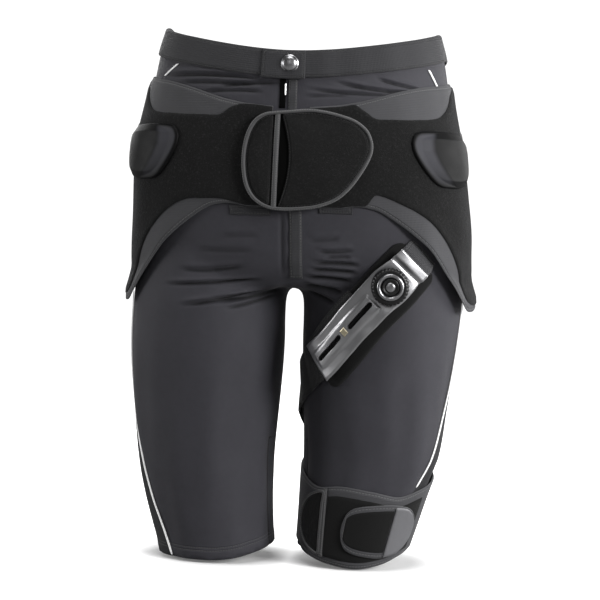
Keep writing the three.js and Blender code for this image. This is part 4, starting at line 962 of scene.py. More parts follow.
def outline_shape(outline, crowd=1.5):
    """A piece inside a closed outline, as rings from its rim to its middle."""
    count = len(outline) - 1
    arm = outline[:-1].mean(0) - outline
    run_of = np.concatenate([[0], np.cumsum(np.linalg.norm(np.diff(outline, axis=0), axis=1))])

    def shape(s, t):
        i = np.rint(s * count).astype(int)
        share = t**crowd
        spot = outline[i] + arm[i] * share[:, None]
        return spot[:, 0], spot[:, 1], rim_distance(spot, outline), run_of[i], spot[:, 0], spot[:, 1]
    return shape


def ring_tape(name, at, outline, wide, foot, tall, material, slot, nodes, inset=0.0, sides=12):
    """Tape bound round a closed outline, with an oval section."""
    count = len(outline) - 1
    normal = inward(outline)
    run_of = np.concatenate([[0], np.cumsum(np.linalg.norm(np.diff(outline, axis=0), axis=1))])

    def place(s, t):
        i = np.rint(s * count).astype(int)
        turn = 2 * math.pi * t
        squarish = lambda x: np.sign(x) * np.abs(x) ** 0.7
        into = inset + wide / 2 * (1 - squarish(np.cos(turn)))
        lift = foot + tall / 2 * (1 + squarish(np.sin(turn)))
        spot = outline[i] + normal[i] * into[:, None]
        where = at(spot[:, 0], spot[:, 1], lift)
        return {"points": where, "out": where, "share": np.ones(len(s)),
                "cloth": np.stack([run_of[i], into], -1), "edge": np.stack([run_of[i], into], -1)}
    bm = laid_grid(count, sides, place, tube=True)
    return finish_piece(bm, name, material, slot, nodes)


def close_ends(bm):
    """Fills a tube's open ends and turns its faces outwards."""
    bmesh.ops.holes_fill(bm, edges=[e for e in bm.edges if e.is_boundary], sides=0)
    bmesh.ops.recalc_face_normals(bm, faces=bm.faces)


def line_tape(name, at, path, wide, foot, tall, material, slot, nodes, columns=120, sides=12):
    """Tape or piping along an open line, with an oval section and closed ends. path(s) gives u, v."""
    def place(s, t):
        turn = 2 * math.pi * t
        u, v, reach = path(s)
        squeeze = np.sqrt(np.clip(1 - (2 * np.abs(s - 0.5)) ** 60, 0.02, 1))
        across = wide / 2 * np.cos(turn) * squeeze
        lift = foot + tall / 2 * (1 + np.sin(turn) * squeeze)
        where = at(u + across / reach, v, lift)
        return {"points": where, "out": where, "share": np.ones(len(s)),
                "cloth": np.stack([v, across], -1), "edge": np.stack([v, wide / 2 - np.abs(across)], -1)}
    bm = laid_grid(columns, sides, place)
    close_ends(bm)
    return finish_piece(bm, name, material, slot, nodes)


def add_tube(parts, ring):
    """Adds one closed tube to parts; ring(angle, t) gives its points from its top to its foot."""
    def place(s, t):
        where = ring(2 * math.pi * s, t)
        flat = np.zeros((len(s), 2))
        return {"points": where, "out": where * 1.01, "share": np.ones(len(s)), "cloth": flat, "edge": flat}
    tube = laid_grid(96, 47, place)
    close_ends(tube)
    mesh = bpy.data.meshes.new("tube")
    tube.to_mesh(mesh)
    tube.free()
    parts.from_mesh(mesh)
    bpy.data.meshes.remove(mesh)


def shorts_form():
    """Trunk and legs run together into one skin, which is smoothed most at the crotch."""
    voxel = 0.0044
    past_waist, past_hem = 0.010, 0.012
    parts = bmesh.new()

    def trunk_ring(angle, t):
        top = waist_top(angle) + past_waist
        return on_trunk(angle, top + (-CROTCH_DROP - top) * t, 0)

    add_tube(parts, trunk_ring)
    leg_top = -CROTCH_DROP + 0.16 * LEG_DROP
    for side in (1, -1):
        def leg_ring(angle, t, side=side):
            foot = hem_height(angle, side) - past_hem
            return on_leg(angle, leg_top + (foot - leg_top) * t, 0, side)
        add_tube(parts, leg_ring)
    mesh = bpy.data.meshes.new("shorts_form")
    parts.to_mesh(mesh)
    parts.free()
    form = bpy.data.objects.new("shorts_form", mesh)
    bpy.context.scene.collection.objects.link(form)
    remesh = form.modifiers.new("remesh", "REMESH")
    remesh.mode = "VOXEL"
    remesh.voxel_size = voxel
    evaluated = form.evaluated_get(bpy.context.evaluated_depsgraph_get())
    bm = bmesh.new()
    bm.from_mesh(evaluated.to_mesh())
    evaluated.to_mesh_clear()
    bpy.data.objects.remove(form)

    def smooth_out(verts, times):
        for _ in range(times):
            bmesh.ops.smooth_vert(bm, verts=verts, factor=0.5, use_axis_x=True, use_axis_y=True,
                                  use_axis_z=True)

    smooth_out(bm.verts, 1)
    smooth_out([v for v in bm.verts if -0.285 < v.co.z < -0.205 and abs(v.co.x) < 0.07], 14)
    smooth_out(bm.verts, 2)
    return bm


def cut_height(co):
    """Height of the hem at one point's angle round its leg."""
    side = 1 if co.x > 0 else -1
    middle, back, _, _ = leg_section(np.array([co.z]), side)
    angle = math.atan2(abs(co.x) - float(middle[0]), float(back[0]) - co.y)
    return float(hem_height(angle, side))


def cut_open(bm):
    """Opens the form at the waist and at both hems, and evens the hems."""
    hems_below = -0.45
    gone = []
    for face in bm.faces:
        middle = face.calc_center_median()
        round_at = math.atan2(middle.x, -middle.y)
        inwards = float(trunk_radius(round_at, middle.z)) - math.hypot(middle.x, middle.y)
        above = middle.z > -0.04 and middle.z > float(waist_top(round_at)) - 0.008
        cap = middle.z > -0.06 and inwards > 0.012
        below = middle.z < hems_below and middle.z < cut_height(middle)
        if above or cap or below:
            gone.append(face)
    bmesh.ops.delete(bm, geom=gone, context="FACES")
    for edge in bm.edges:
        if edge.is_boundary and edge.verts[0].co.z < hems_below:
            for v in edge.verts:
                v.co.z = cut_height(v.co)


def refine_creased(bm):
    """Finer cells in front, where the creases lie."""
    stretches = ((-0.275, -0.165), (-0.062, -0.012))

    def creased(middle):
        return middle.y < -0.03 and any(low < middle.z < high for low, high in stretches)

    front = [f for f in bm.faces if creased(f.calc_center_median())]
    edges = list({e for f in front for e in f.edges})
    bmesh.ops.subdivide_edges(bm, edges=edges, cuts=3, use_grid_fill=True, smooth=0)
    bm.normal_update()
    bm.verts.ensure_lookup_table()


def crease(co):
    """How far the creases push each point, and how much shade is painted into their cores."""
    narrowing, deepening = 0.78, 1.35
    push = np.zeros(len(co))
    crease_shade = np.zeros(len(co))
    x, z = co[:, 0] / MM, co[:, 2] / MM
    facing = smooth(-co[:, 1], 0.0, 0.03)
    for from_x, from_z, to_x, to_z, sag, half_width, deep in zip(*CREASES.values()):
        arm = np.array([to_x - from_x, to_z - from_z])
        long = np.linalg.norm(arm)
        arm /= long
        s = ((x - from_x) * arm[0] + (z - from_z) * arm[1]) / long
        across = (x - from_x) * -arm[1] + (z - from_z) * arm[0]
        across = across - sag * 4 * s * (1 - s)
        wide = narrowing * half_width
        fade = smooth(s, -0.08, 0.25) * (1 - smooth(s, 0.8, 1.06))
        dip = np.exp(-((across / wide) ** 2))
        roll = np.exp(-(((across - 1.9 * wide) / (1.3 * wide)) ** 2))
        push += (0.5 * roll - dip) * deepening * deep * MM * fade * facing
        core = np.exp(-(((across + 0.25 * wide) / (0.55 * wide)) ** 2))
        crease_shade = np.maximum(crease_shade, core * np.minimum(1, 0.55 * deep) * fade * facing)
    return push, crease_shade


def make_shorts():
    """Stretch shorts: trunk and legs run together, creased in front, cut at the waist and the hems."""
    bm = shorts_form()
    cut_open(bm)
    refine_creased(bm)
    co = np.array([v.co for v in bm.verts])
    normal = np.array([v.normal for v in bm.verts])
    push, crease_shade = crease(co)
    height = co[:, 2]
    side = np.sign(co[:, 0])
    middle, back, wide, _ = leg_section(height, side)
    turn = np.arctan2(np.abs(co[:, 0]) - middle, back - co[:, 1])
    slack = (np.sin(5 * turn + 9 * height + side) + 0.6 * np.sin(9 * turn - 14 * height + 2 * side)
             + 0.4 * np.sin(14 * turn + 21 * height))
    push += 0.0009 * slack * smooth(-height, 0.25, 0.36) * (1 - 0.5 * smooth(-height, 0.49, 0.52))
    on_legs = height < -CROTCH_DROP - 0.01
    hem = np.where(on_legs, height - hem_height(turn, side), 1.0)
    push += 0.0006 * (1 - smooth(hem, 0.0095, 0.0115)) * on_legs
    vent = np.where(on_legs & (height < -0.385), (turn - math.radians(-70)) * wide, 0.02)
    vent = np.where(height > -0.4, np.abs(vent), vent)
    push -= 0.0009 * np.exp(-((vent / 0.003) ** 2))
    behind = np.where(turn > 0, turn - seam_angle(height, side), math.radians(-100) - turn) * wide
    behind = np.where(height < -0.06, behind, -0.02)
    co = co + normal * push[:, None]
    facts = {"behind_seam": behind, "vent": vent, "hem": hem, "round": turn * wide, "crease_shade": crease_shade}
    layers = {name: bm.verts.layers.float.new(name) for name in facts}
    for i, v in enumerate(bm.verts):
        v.co = co[i]
        for name, layer in layers.items():
            v[layer] = facts[name][i]
    finish_piece(bm, "shorts_cloth", Finishes.shorts, "knit",
                 ("shorts_seat", "shorts_leg_left", "shorts_leg_right"), wall=CLOTH_WALL)


def make_waist():
    """Waistband folded over the shorts' edge, its front tab and the domed snap."""
    lip = 0.010
    under = -0.0022
    over = 0.0006
    outer = 0.0028

    def place(s, t):
        angle = 2 * math.pi * s
        top = waist_top(angle)
        spots = np.array([(over, -BAND_TALL), (outer, -BAND_TALL + 0.0008),
                          (outer + 0.0002, -BAND_TALL * 0.5), (outer, -0.0012), (0.0016, 0.0),
                          (-0.0012, 0.0), (under - 0.0006, -0.0012), (under - 0.0006, -lip), (under, -lip),
                          (over - 0.0026, -lip + 0.002), (over, -lip - 0.001), (over, -BAND_TALL)])
        run = np.concatenate([[0], np.cumsum(np.linalg.norm(np.diff(spots, axis=0), axis=1))])
        lift = np.interp(t * run[-1], run, spots[:, 0])
        drop = np.interp(t * run[-1], run, spots[:, 1])
        wave = 0.0005 * np.sin(9 * angle) + 0.0003 * np.sin(23 * angle + 1)
        where = on_trunk(angle, top + drop, lift + wave)
        rim = np.minimum(-drop, drop + BAND_TALL)
        return {"points": where, "out": where, "share": np.ones(len(s)),
                "cloth": np.stack([angle * 0.14, drop], -1), "edge": np.stack([angle * 0.14, rim], -1)}
    bm = laid_grid(220, 40, place, tube=True)
    finish_piece(bm, "waistband_cloth", Finishes.band, "band", ("waistband",))

    tab_from = float(round_trunk(0, -0.030, WAIST_FRONT))
    tab_to = float(round_trunk(0, 0.0118, WAIST_FRONT))
    shape = band_shape(tab_from, tab_to, lambda u: waist_top(u) - BAND_TALL - 0.0016,
                       lambda u: waist_top(u) - 0.0006, 0.1)
    cloth("waistband_tab_cloth", on_trunk, shape, 28, 20, 0.0036, 0.0018, Finishes.band, "band",
          ("waistband_tab",), soft=0.002)

    origin = on_trunk(round_trunk(0, np.array([-0.003]), -0.013), np.array([-0.013]), 0.0052)[0]
    dome = [(0.0078 * math.sin(a), 0.0012 + 0.0040 * math.cos(a)) for a in np.linspace(0, 1.5, 14)]
    profile = dome + [(0.0080, 0.0012), (0.0088, 0.0010), (0.0091, 0.0006), (0.0088, 0.0002), (0.0060, 0.0),
                      (0.0, 0.0)]
    spun("snap_dome", profile, 48, origin, Vector((0, -1, 0)), Finishes.snap, "steel", ("snap_cap",))


def spun(name, profile, steps, origin, axis, material, slot, nodes, body="brace", shape=None, up=(0, 0, 1)):
    """A round piece spun from its profile of (radius, height), stood on origin along axis."""
    bm = bmesh.new()
    verts = [bm.verts.new((r, 0, h)) for r, h in profile]
    edges = [bm.edges.new(pair) for pair in zip(verts, verts[1:])]
    bmesh.ops.spin(bm, geom=verts + edges, cent=(0, 0, 0), axis=(0, 0, 1), angle=2 * math.pi, steps=steps,
                   use_merge=True, use_duplicate=False)
    bmesh.ops.remove_doubles(bm, verts=bm.verts, dist=MERGE)
    if shape:
        for v in bm.verts:
            shape(v)
    bmesh.ops.recalc_face_normals(bm, faces=bm.faces)
    axis = Vector(axis).normalized()
    side = Vector(up).cross(axis).normalized()
    matrix = Matrix((side, axis.cross(side), axis)).transposed().to_4x4()
    matrix.translation = Vector(origin)
    bmesh.ops.transform(bm, matrix=matrix, verts=bm.verts)
    return finish_piece(bm, name, material, slot, nodes, body)


def make_fly():
    """Fly placket down the front seam, with its rows of stitches."""
    wide = 0.0130
    top = WAIST_FRONT - BAND_TALL - 0.0005
    foot = -CROTCH_DROP * 0.955

    def at(u, v, lift):
        lean = 0.0005 + 0.014 * (top - v)
        narrow = 0.7 + 0.3 * smooth(top - v, 0.06, 0.14)
        radius = trunk_radius(np.zeros(np.shape(v)), v)
        return on_trunk((u * narrow + lean) / radius, v, lift)

    shape = band_shape(-wide / 2, wide / 2, level(foot), level(top), 1)
    cloth("fly_placket", at, shape, 10, 110, 0.0004, 0.0016, Finishes.fly, "knit", ("fly",), soft=0.0016,
          swell=lambda u, v, rim: 0.0004 * np.sin(v * 260))


def make_fly_gap():
    """A near-black sheet painted as the shadow in the gap left of the fly under the waistband, with the
    edge of the slide fastener in it.
    """
    at = lambda u, v, lift: on_trunk(u / trunk_radius(np.zeros(np.shape(v)), v), v, lift)
    shadow_from, shadow_to = -0.0125, -0.0062
    shadow_foot, shadow_top = -0.058, -0.0275
    shape = band_shape(shadow_from, shadow_to, level(shadow_foot), level(shadow_top), 1)
    # Painted shadow: this thin near-black sheet stands for the shade in the fly's gap
    cloth("fly_gap_shadow", at, shape, 8, 30, 0.0003, 0.0009, Finishes.lining_and_shadow, "knit", (), soft=0.001)
    teeth_at, teeth_top, teeth_long = -0.0066, -0.0325, 0.0125
    path = lambda s: (np.full(np.shape(s), teeth_at), teeth_top - teeth_long * s, np.ones(np.shape(s)))
    line_tape("slide_fastener", at, path, 0.0015, 0.0010, 0.0011, Finishes.fastener, "steel", (),
              columns=24)


def belt_edge(name):
    return lambda u: CROTCH_DROP * along(BELT, "angle", np.abs(np.degrees(u)), name)


def belt_lift(u, v):
    """How far the belt stands off the thigh along its foot."""
    foot = belt_edge("foot")(u)
    near = np.clip(1 - (v - foot) / 0.060, 0, 1)
    low = smooth(-foot, 0.66 * CROTCH_DROP, 0.85 * CROTCH_DROP)
    front = 1 - smooth(np.abs(u), math.radians(95), math.radians(130))
    return np.where(u > 0, 0.0112, 0.0062) * near * near * low * (0.45 + 0.55 * front)


def make_belt():
    """Hip belt: a foam laminate base whose border shows, and the plush face on it."""
    first = float(round_trunk(0, 0.018, -0.058))
    ripple = lambda u, v: 0.0004 * np.sin(11 * u + 25 * v) + 0.0003 * np.sin(19 * u - 40 * v)
    base_foot = lambda u, v: BELT_FOOT + belt_lift(u, v) + np.maximum(ripple(u, v), 0)
    plush_foot = lambda u, v: PLUSH_FOOT - 0.0004 + belt_lift(u, v) + np.maximum(ripple(u, v), 0)
    turn = lambda u: np.where(u > math.pi, u - 2 * math.pi, u)
    span = 2 * math.pi - first

    def plush_side(u, edge):
        """Plush edge: on the left side it leaves the belt's own edge later and more steeply."""
        a = np.degrees(u)
        if edge == "plush_top":
            own, later = belt_edge("top")(u) - 0.0015, smooth(a, 30, 35)
            shifted = belt_edge(edge)(np.radians(a - 5 * (1 - smooth(a, 46, 66))))
        elif edge == "plush_foot":
            own, later = belt_edge("foot")(u) + 0.0012, smooth(a, 35, 40)
            shifted = belt_edge(edge)(u) + 0.008 * (1 - smooth(a, 40, 52))
        else:
            return belt_edge(edge)(u)
        return np.where(a > 0, own + (shifted - own) * later, belt_edge(edge)(u))

    for name, low, high, foot, wall, material, slot, nodes, soft in (
            ("belt_laminate", "foot", "top", base_foot, BELT_WALL, Finishes.laminate, "laminate",
             ("belt_base_left", "belt_base_right"), 0.0018),
            ("belt_pile", "plush_foot", "plush_top", plush_foot, PLUSH_WALL + 0.0004, Finishes.belt_plush,
             "plush", ("belt_plush_left", "belt_plush_right"), 0.0025)):
        shape = band_shape(first, span, lambda u, low=low: plush_side(turn(u), low),
                           lambda u, high=high: plush_side(turn(u), high), 0.16)
        at = lambda u, v, lift: on_hull(turn(u), v, lift)
        cloth(name, at, shape, 300, 42, lambda u, v, foot=foot: foot(turn(u), v), wall, material, slot,
              nodes, soft=soft)


def make_under_tabs():
    """Ends of the belt's inner wrap that show below the closure."""
    for word, x_from, x_to, low, high in (("right", -0.064, -0.022, -0.1665, -0.156),
                                          ("left", 0.026, 0.060, -0.1625, -0.152)):
        first, last = (float(round_trunk(0, x, low)) for x in (x_from, x_to))
        shape = band_shape(first, last, level(low), level(high), 0.11)
        cloth(f"belt_tab_end_{word}", on_trunk, shape, 40, 8, 0.0004, 0.0012, Finishes.band, "laminate", (),
              soft=0.0012)


def closure_outline(count):
    spots = np.stack([CLOSURE_LEFT + CLOSURE["across"] * CLOSURE_WIDE,
                      CLOSURE_FOOT_Z + CLOSURE["up"] * CLOSURE_TALL], -1)
    return curve_through(spots, count)


def seam_x(z):
    up = (z - CLOSURE_FOOT_Z) / CLOSURE_TALL
    return CLOSURE_LEFT + CLOSURE_WIDE * (CLOSURE_SEAM[0] + (CLOSURE_SEAM[1] - CLOSURE_SEAM[0]) * up)


def closure_flap(outline, side, bow, gap):
    """The closure's inside on one side of its seam band, with a straight or bowed inner edge."""
    ring = outline[:-1]
    keep = side * (ring[:, 0] - seam_x(ring[:, 1])) > gap
    start = int(np.argmax(keep & ~np.roll(keep, 1)))
    run = np.roll(ring, -start, axis=0)[: int(keep.sum())]
    share = np.linspace(0, 1, 40)[1:-1]
    z = run[-1, 1] + (run[0, 1] - run[-1, 1]) * share
    x = seam_x(z) + side * (gap + bow * np.sin(math.pi * share) ** 0.9)
    whole = np.vstack([run, np.stack([x, z], -1)])
    whole = np.vstack([whole, whole[:1]])
    length = np.concatenate([[0], np.cumsum(np.linalg.norm(np.diff(whole, axis=0), axis=1))])
    wanted = np.linspace(0, length[-1], 181)
    return np.stack([np.interp(wanted, length, whole[:, k]) for k in (0, 1)], -1)


def make_closure():
    """Front closure: two pile flaps bound with tape, the seam band, and the finger pocket beside it."""
    outline = closure_outline(200)
    normal = inward(outline)
    ring_tape("closure_tape", on_belly, outline, BINDING_WIDE, CLOSURE_FOOT, 0.0060, Finishes.tape,
              "binding", ("closure_binding",))
    inside = outline + normal * (BINDING_WIDE - 0.0004)
    # The base is near-black: its own dark lining, deepened to stand for the shade inside the finger pocket
    cloth("closure_laminate", on_belly, outline_shape(inside), 200, 18, CLOSURE_FOOT, 0.0018,
          Finishes.lining_and_shadow, "laminate", ("closure_base",), soft=0.001)
    crown = lambda u, v, rim: 0.0016 * smooth(rim, 0.0, 0.022) + 0.0004 * np.sin(u * 90 + v * 60)
    gap = SEAM_BAND_WIDE / 2 + 0.0006
    for name, side, bow, node in (("flap_left_pile", 1, 0.0095, "closure_flap_left"),
                                  ("flap_right_pile", -1, 0.0, "closure_flap_right")):
        flap = closure_flap(inside, side, bow, gap)
        piece = cloth(name, on_belly, outline_shape(flap), 180, 22, FLAP_FOOT, FLAP_WALL - 0.0006,
                      Finishes.flap_plush, "plush", (node,), soft=0.0032, swell=crown)
    low, high = CLOSURE_FOOT_Z + 0.0022, CLOSURE_FOOT_Z + CLOSURE_TALL * 0.965
    shape = band_shape(-SEAM_BAND_WIDE / 2, SEAM_BAND_WIDE / 2, level(low), level(high), 1)
    at = lambda u, v, lift: on_belly(seam_x(v) + u, v, lift)
    cloth("closure_seam_tape", at, shape, 10, 70, FLAP_FOOT, FLAP_WALL + 0.0006, Finishes.tape, "binding",
          ("closure_seam_band",), soft=0.0014)


def make_hip_pads():
    """Moulded hip pads with a wide bevel round a raised face, and the straps that run behind them."""
    spots = np.stack([HIP_PAD["along"] * HIP_PAD_WIDE / 2, HIP_PAD["up"] * HIP_PAD_TALL / 2], -1)
    outline = curve_through(spots, 180)
    foot = PLUSH_FOOT + PLUSH_WALL + 0.0003

    shell_wall = 0.0070
    roll_tall, bevel_tall = 0.0022, 0.0030
    facet_fall, facet_wide = 0.0044, 0.023
    front_rows = np.r_[10:17, 0:2]
    front_v = HIP_PAD["up"][front_rows] * HIP_PAD_TALL / 2
    front_u = HIP_PAD["along"][front_rows] * HIP_PAD_WIDE / 2

    def rise(u, v, rim):
        """Lift of the face: a rolled edge, a bevel, the face, and a wide facet along the front side."""
        edge = roll_tall * np.sqrt(1 - (1 - np.clip(rim / 0.0018, 0, 1)) ** 2)
        bevel = bevel_tall * np.clip((rim - 0.0016) / 0.0060, 0, 1)
        facet = facet_fall * (1 - np.clip((u - np.interp(v, front_v, front_u)) / facet_wide, 0, 1))
        return edge + bevel - np.minimum(facet, bevel * 0.9) + 0.0008

    def lit_facet_share(u, v, rim):
        """Share of the painted highlight: 1 on the facet, 0 on the face and on the rolled edge."""
        across = u - np.interp(v, front_v, front_u)
        fading_down = smooth(v, -0.0285, 0.005) ** 0.4
        return (1 - smooth(across, 0.017, 0.024)) * smooth(rim, 0.0012, 0.0045) * fading_down

    for side, word in ((1, "left"), (-1, "right")):
        centre = HIP_PAD_ANGLE - (0 if side > 0 else RIGHT_PAD_FORWARD)

        def at(u, v, lift, side=side, centre=centre):
            return on_trunk(side * round_trunk(centre, u, HIP_PAD_Z), HIP_PAD_Z + v, lift)

        def place(s, t, at=at):
            u, v, rim, run, _, _ = outline_shape(outline, crowd=1.4)(s, t)
            height = rise(u, v, rim)
            return {"points": at(u, v, foot + height), "out": at(u, v, foot + height + MM),
                    "share": np.clip((0.0004 + height) / shell_wall, 0, 1), "cloth": np.stack([u, v], -1),
                    "edge": np.stack([lit_facet_share(u, v, rim), rim], -1)}
        bm = laid_grid(180, 36, place)
        finish_piece(bm, f"hip_pad_shell_{word}", Finishes.pad, "moulded", (f"hip_pad_{word}",),
                     wall=shell_wall)

        strap_from = float(round_trunk(HIP_PAD_ANGLE, HIP_PAD_WIDE / 2 - 0.006, HIP_PAD_Z))
        middle = HIP_PAD_Z + HIP_PAD_TALL * 0.18
        shape = band_shape(strap_from, HIP_STRAP_END, level(middle - HIP_STRAP_WIDE / 2),
                           level(middle + HIP_STRAP_WIDE / 2), 0.15)
        on_side = lambda u, v, lift, side=side: on_trunk(side * u, v, lift)
        cloth(f"hip_strap_webbing_{word}", on_side, shape, 90, 14, foot - 0.0002, 0.0016, Finishes.webbing,
              "webbing", (f"hip_strap_{word}",), soft=0.001)


def make_thigh_strap():
    """Foam backing under the plate, the strap that spirals round the thigh, and the belt's webbing."""
    long_from, long_to = PLATE_START - 0.008, PLATE_END + 0.006
    corner = 0.010

    def edge_cut(u):
        near = np.clip(np.minimum(u - long_from, long_to - u), 0, corner)
        return corner - np.sqrt(np.maximum(corner**2 - (corner - near) ** 2, 0))

    def outer_side(u):
        return -0.031 - 0.004 * smooth(u - PLATE_START, 0.04, 0.12) + edge_cut(u)

    def inner_side(u):
        return 0.024 + 0.0055 * smooth(u - PLATE_START, 0.04, 0.12) - edge_cut(u)

    shape = band_shape(long_from, long_to, outer_side, inner_side, 1)

    def on_backing(u, v, lift):
        """From the leg's own surface at the backing's foot to the plate's surface at its top."""
        share = np.clip((np.asarray(lift)[..., None] - BACKING_FOOT) / BACKING_WALL, 0, 1)
        return beside_strap(u, v, lift) * (1 - share) + beside_plate(u, v, lift) * share

    backing = cloth("thigh_foam", on_backing, shape, 90, 34, BACKING_FOOT, BACKING_WALL, Finishes.foam,
                    "plush", ("thigh_backing",), soft=0.0035, least=0.4)

    end = float(route_run[-1])
    strap_from = PLATE_START + PLATE_LONG * 0.45
    cuff_top = leg_height(CUFF["top"][0])
    meets = float(route_run[int(np.argmax(route_z - STRAP_WIDE * 0.75 <= cuff_top))])
    over_cuff = CUFF_FOOT + CUFF_WALL + 0.0014

    def strap_foot(u, v):
        off = smooth(u, PLATE_END + 0.008, PLATE_END + 0.032)
        on = smooth(u, meets - 0.0576, meets - 0.0336)
        return STRAP_OVER_BACKING + (0.0009 - STRAP_OVER_BACKING) * off + (over_cuff - 0.0009) * on

    shape = band_shape(strap_from, end, level(STRAP_OUTER), level(STRAP_OUTER + STRAP_WIDE), 1)
    cloth("thigh_strap_webbing", beside_plate, shape, 240, 16, strap_foot, STRAP_WALL,
          Finishes.thigh_webbing, "webbing", ("thigh_strap",), soft=0.0012)

    foot = lambda u, v: 0.0014 + 0.0047 * smooth(u - PLATE_START, -0.019, -0.005)
    outer, inner = -0.022, 0.016
    shape = band_shape(PLATE_START - 0.019, PLATE_START + 0.008, level(outer), level(inner), 1)
    cloth("top_webbing", beside_plate, shape, 30, 20, foot, 0.0016, Finishes.top_webbing,
          "webbing", ("belt_webbing",), soft=0.0008)


def slot_cutter(run_from, run_to):
    """A rounded bar along the plate that cuts one slot through it."""
    bm = bmesh.new()
    bmesh.ops.create_grid(bm, x_segments=26, y_segments=2, size=0.5)
    half = SLOT_WIDE / 2
    for v in bm.verts:
        run = run_from + (run_to - run_from) * (v.co.x + 0.5)
        near = min(run - run_from, run_to - run, half)
        wide = math.sqrt(max(half**2 - (half - near) ** 2, 1e-9))
        spot = on_plate(np.array([run]), np.array([2 * v.co.y * max(wide, 0.0007)]),
                        np.array([PLATE_FOOT - 0.002]))[0]
        v.co = spot
    out = Vector(route_frame(np.array([(run_from + run_to) / 2]))[3][0])
    made = bmesh.ops.extrude_face_region(bm, geom=bm.faces[:])
    moved = [g for g in made["geom"] if isinstance(g, bmesh.types.BMVert)]
    bmesh.ops.translate(bm, verts=moved, vec=out * (PLATE_WALL + 0.007))
    bmesh.ops.recalc_face_normals(bm, faces=bm.faces)
    mesh = bpy.data.meshes.new("slot_cutter")
    bm.to_mesh(mesh)
    bm.free()
    cutter = bpy.data.objects.new("slot_cutter", mesh)
    bpy.context.scene.collection.objects.link(cutter)
    return cutter


def apply_modifiers(piece):
    """Keeps what the piece's modifiers make of its mesh, and removes them."""
    evaluated = piece.evaluated_get(bpy.context.evaluated_depsgraph_get())
    mesh = bpy.data.meshes.new_from_object(evaluated)
    piece.modifiers.clear()
    old = piece.data
    piece.data = mesh
    bpy.data.meshes.remove(old)
    mesh.name = piece.name


def make_plate():
    """Tensioner plate: a raised bar and groove at its top, flared edges beside the dial, and two slots."""
    def relief(run, across):
        along_plate = run - PLATE_START
        bar = 0.0024 * smooth(along_plate, -0.001, 0.0015) * (1 - smooth(along_plate, 0.0085, 0.0105))
        groove = -0.0009 * np.exp(-(((along_plate - 0.0125) / 0.0014) ** 2))
        step = 0.0009 * smooth(along_plate, 0.0535, 0.0560) * (1 - smooth(along_plate, 0.136, 0.139))
        step = step * (1 - smooth(np.abs(across), 0.0085, 0.0115))
        trough = -0.0005 * smooth(along_plate, 0.050, 0.060) * smooth(np.abs(across), 0.006, 0.012)
        broad = 0.0004 * np.sin(along_plate * 95 + across * 60)
        wave = broad + 0.00025 * np.sin(along_plate * 210 - across * 140)
        return bar + groove + step + trough + wave * (1 - smooth(along_plate, 0.125, 0.142))

    def half_width(run):
        a = run - PLATE_START
        flare = 0.0016 * np.exp(-(((a - 0.033) / 0.012) ** 2))
        pinch = -0.0008 * np.exp(-(((a - 0.014) / 0.003) ** 2))
        return PLATE_WIDE / 2 + flare + pinch

    def outer_side(run):
        return -half_width(run) - 0.0025 * smooth(run - PLATE_START, 0.08, 0.14)

    def inner_side(run):
        return half_width(run) + 0.0035 * smooth(run - PLATE_START, 0.11, 0.142)

    shape = band_shape(PLATE_START, PLATE_END, outer_side, inner_side, 1)
    full_wall = 0.0065
    corner = 0.004

    def place(s, t):
        u, v, rim, run, width, height = shape(s, t)
        rim_corner = np.hypot(np.maximum(corner - np.minimum(u - PLATE_START, PLATE_END - u), 0),
                              np.maximum(corner - (half_width(u) - np.abs(v)), 0))
        lift = PLATE_FOOT + PLATE_WALL + relief(u, v) - 0.0005 * (rim_corner > 0.0045)
        lift = lift - 0.0007 * (1 - smooth(rim, 0.0, 0.0014))
        return {"points": on_plate(u, v, lift), "out": on_plate(u, v, lift + MM),
                "share": np.clip((lift - PLATE_FOOT) / full_wall, 0, 1),
                "cloth": np.stack([width, height], -1), "edge": np.stack([run, rim], -1)}
    bm = laid_grid(142, 40, place)
    plate = finish_piece(bm, "plate_body", Finishes.plate, "gunmetal", ("tension_plate",), wall=full_wall)
    cutters = [slot_cutter(*UPPER_SLOT), slot_cutter(*LOWER_SLOT)]
    for cutter in cutters:
        boolean = plate.modifiers.new("slot", "BOOLEAN")
        boolean.operation = "DIFFERENCE"
        boolean.object = cutter
        boolean.solver = "EXACT"
    apply_modifiers(plate)
    for cutter in cutters:
        bpy.data.objects.remove(cutter)
    edge = plate.modifiers.new("edge", "BEVEL")
    edge.width = 0.0005
    edge.segments = 3
    edge.limit_method = "ANGLE"
    edge.angle_limit = math.radians(55)

    lace_wide = 0.0034
    for word, (first, last) in (("upper", (UPPER_SLOT[0] - 0.002, UPPER_SLOT[1] + 0.008)),
                                ("lower", (LOWER_SLOT[0] - 0.008, LOWER_SLOT[1] + 0.002))):
        path = lambda s, first=first, last=last: (0.0 * s, first + (last - first) * s, np.ones(np.shape(s)))
        at = lambda u, v, lift: on_plate(v, u, lift)
        line_tape(f"plate_lace_{word}", at, path, lace_wide, PLATE_FOOT - 0.0004, 0.0016, Finishes.foam,
                  "plush", (), columns=60)

    middle = (UPPER_SLOT[1] + LOWER_SLOT[0]) / 2
    half_long, half_wide = 0.0030, SLOT_WIDE / 2 + 0.0012
    shape = band_shape(middle - half_long, middle + half_long, level(-half_wide), level(half_wide), 1)
    cloth("marker_block", on_plate, shape, 14, 14, PLATE_FOOT + PLATE_WALL + 0.0005, 0.0016, Finishes.brass,
          "brass", ("tension_marker",), soft=0.001)


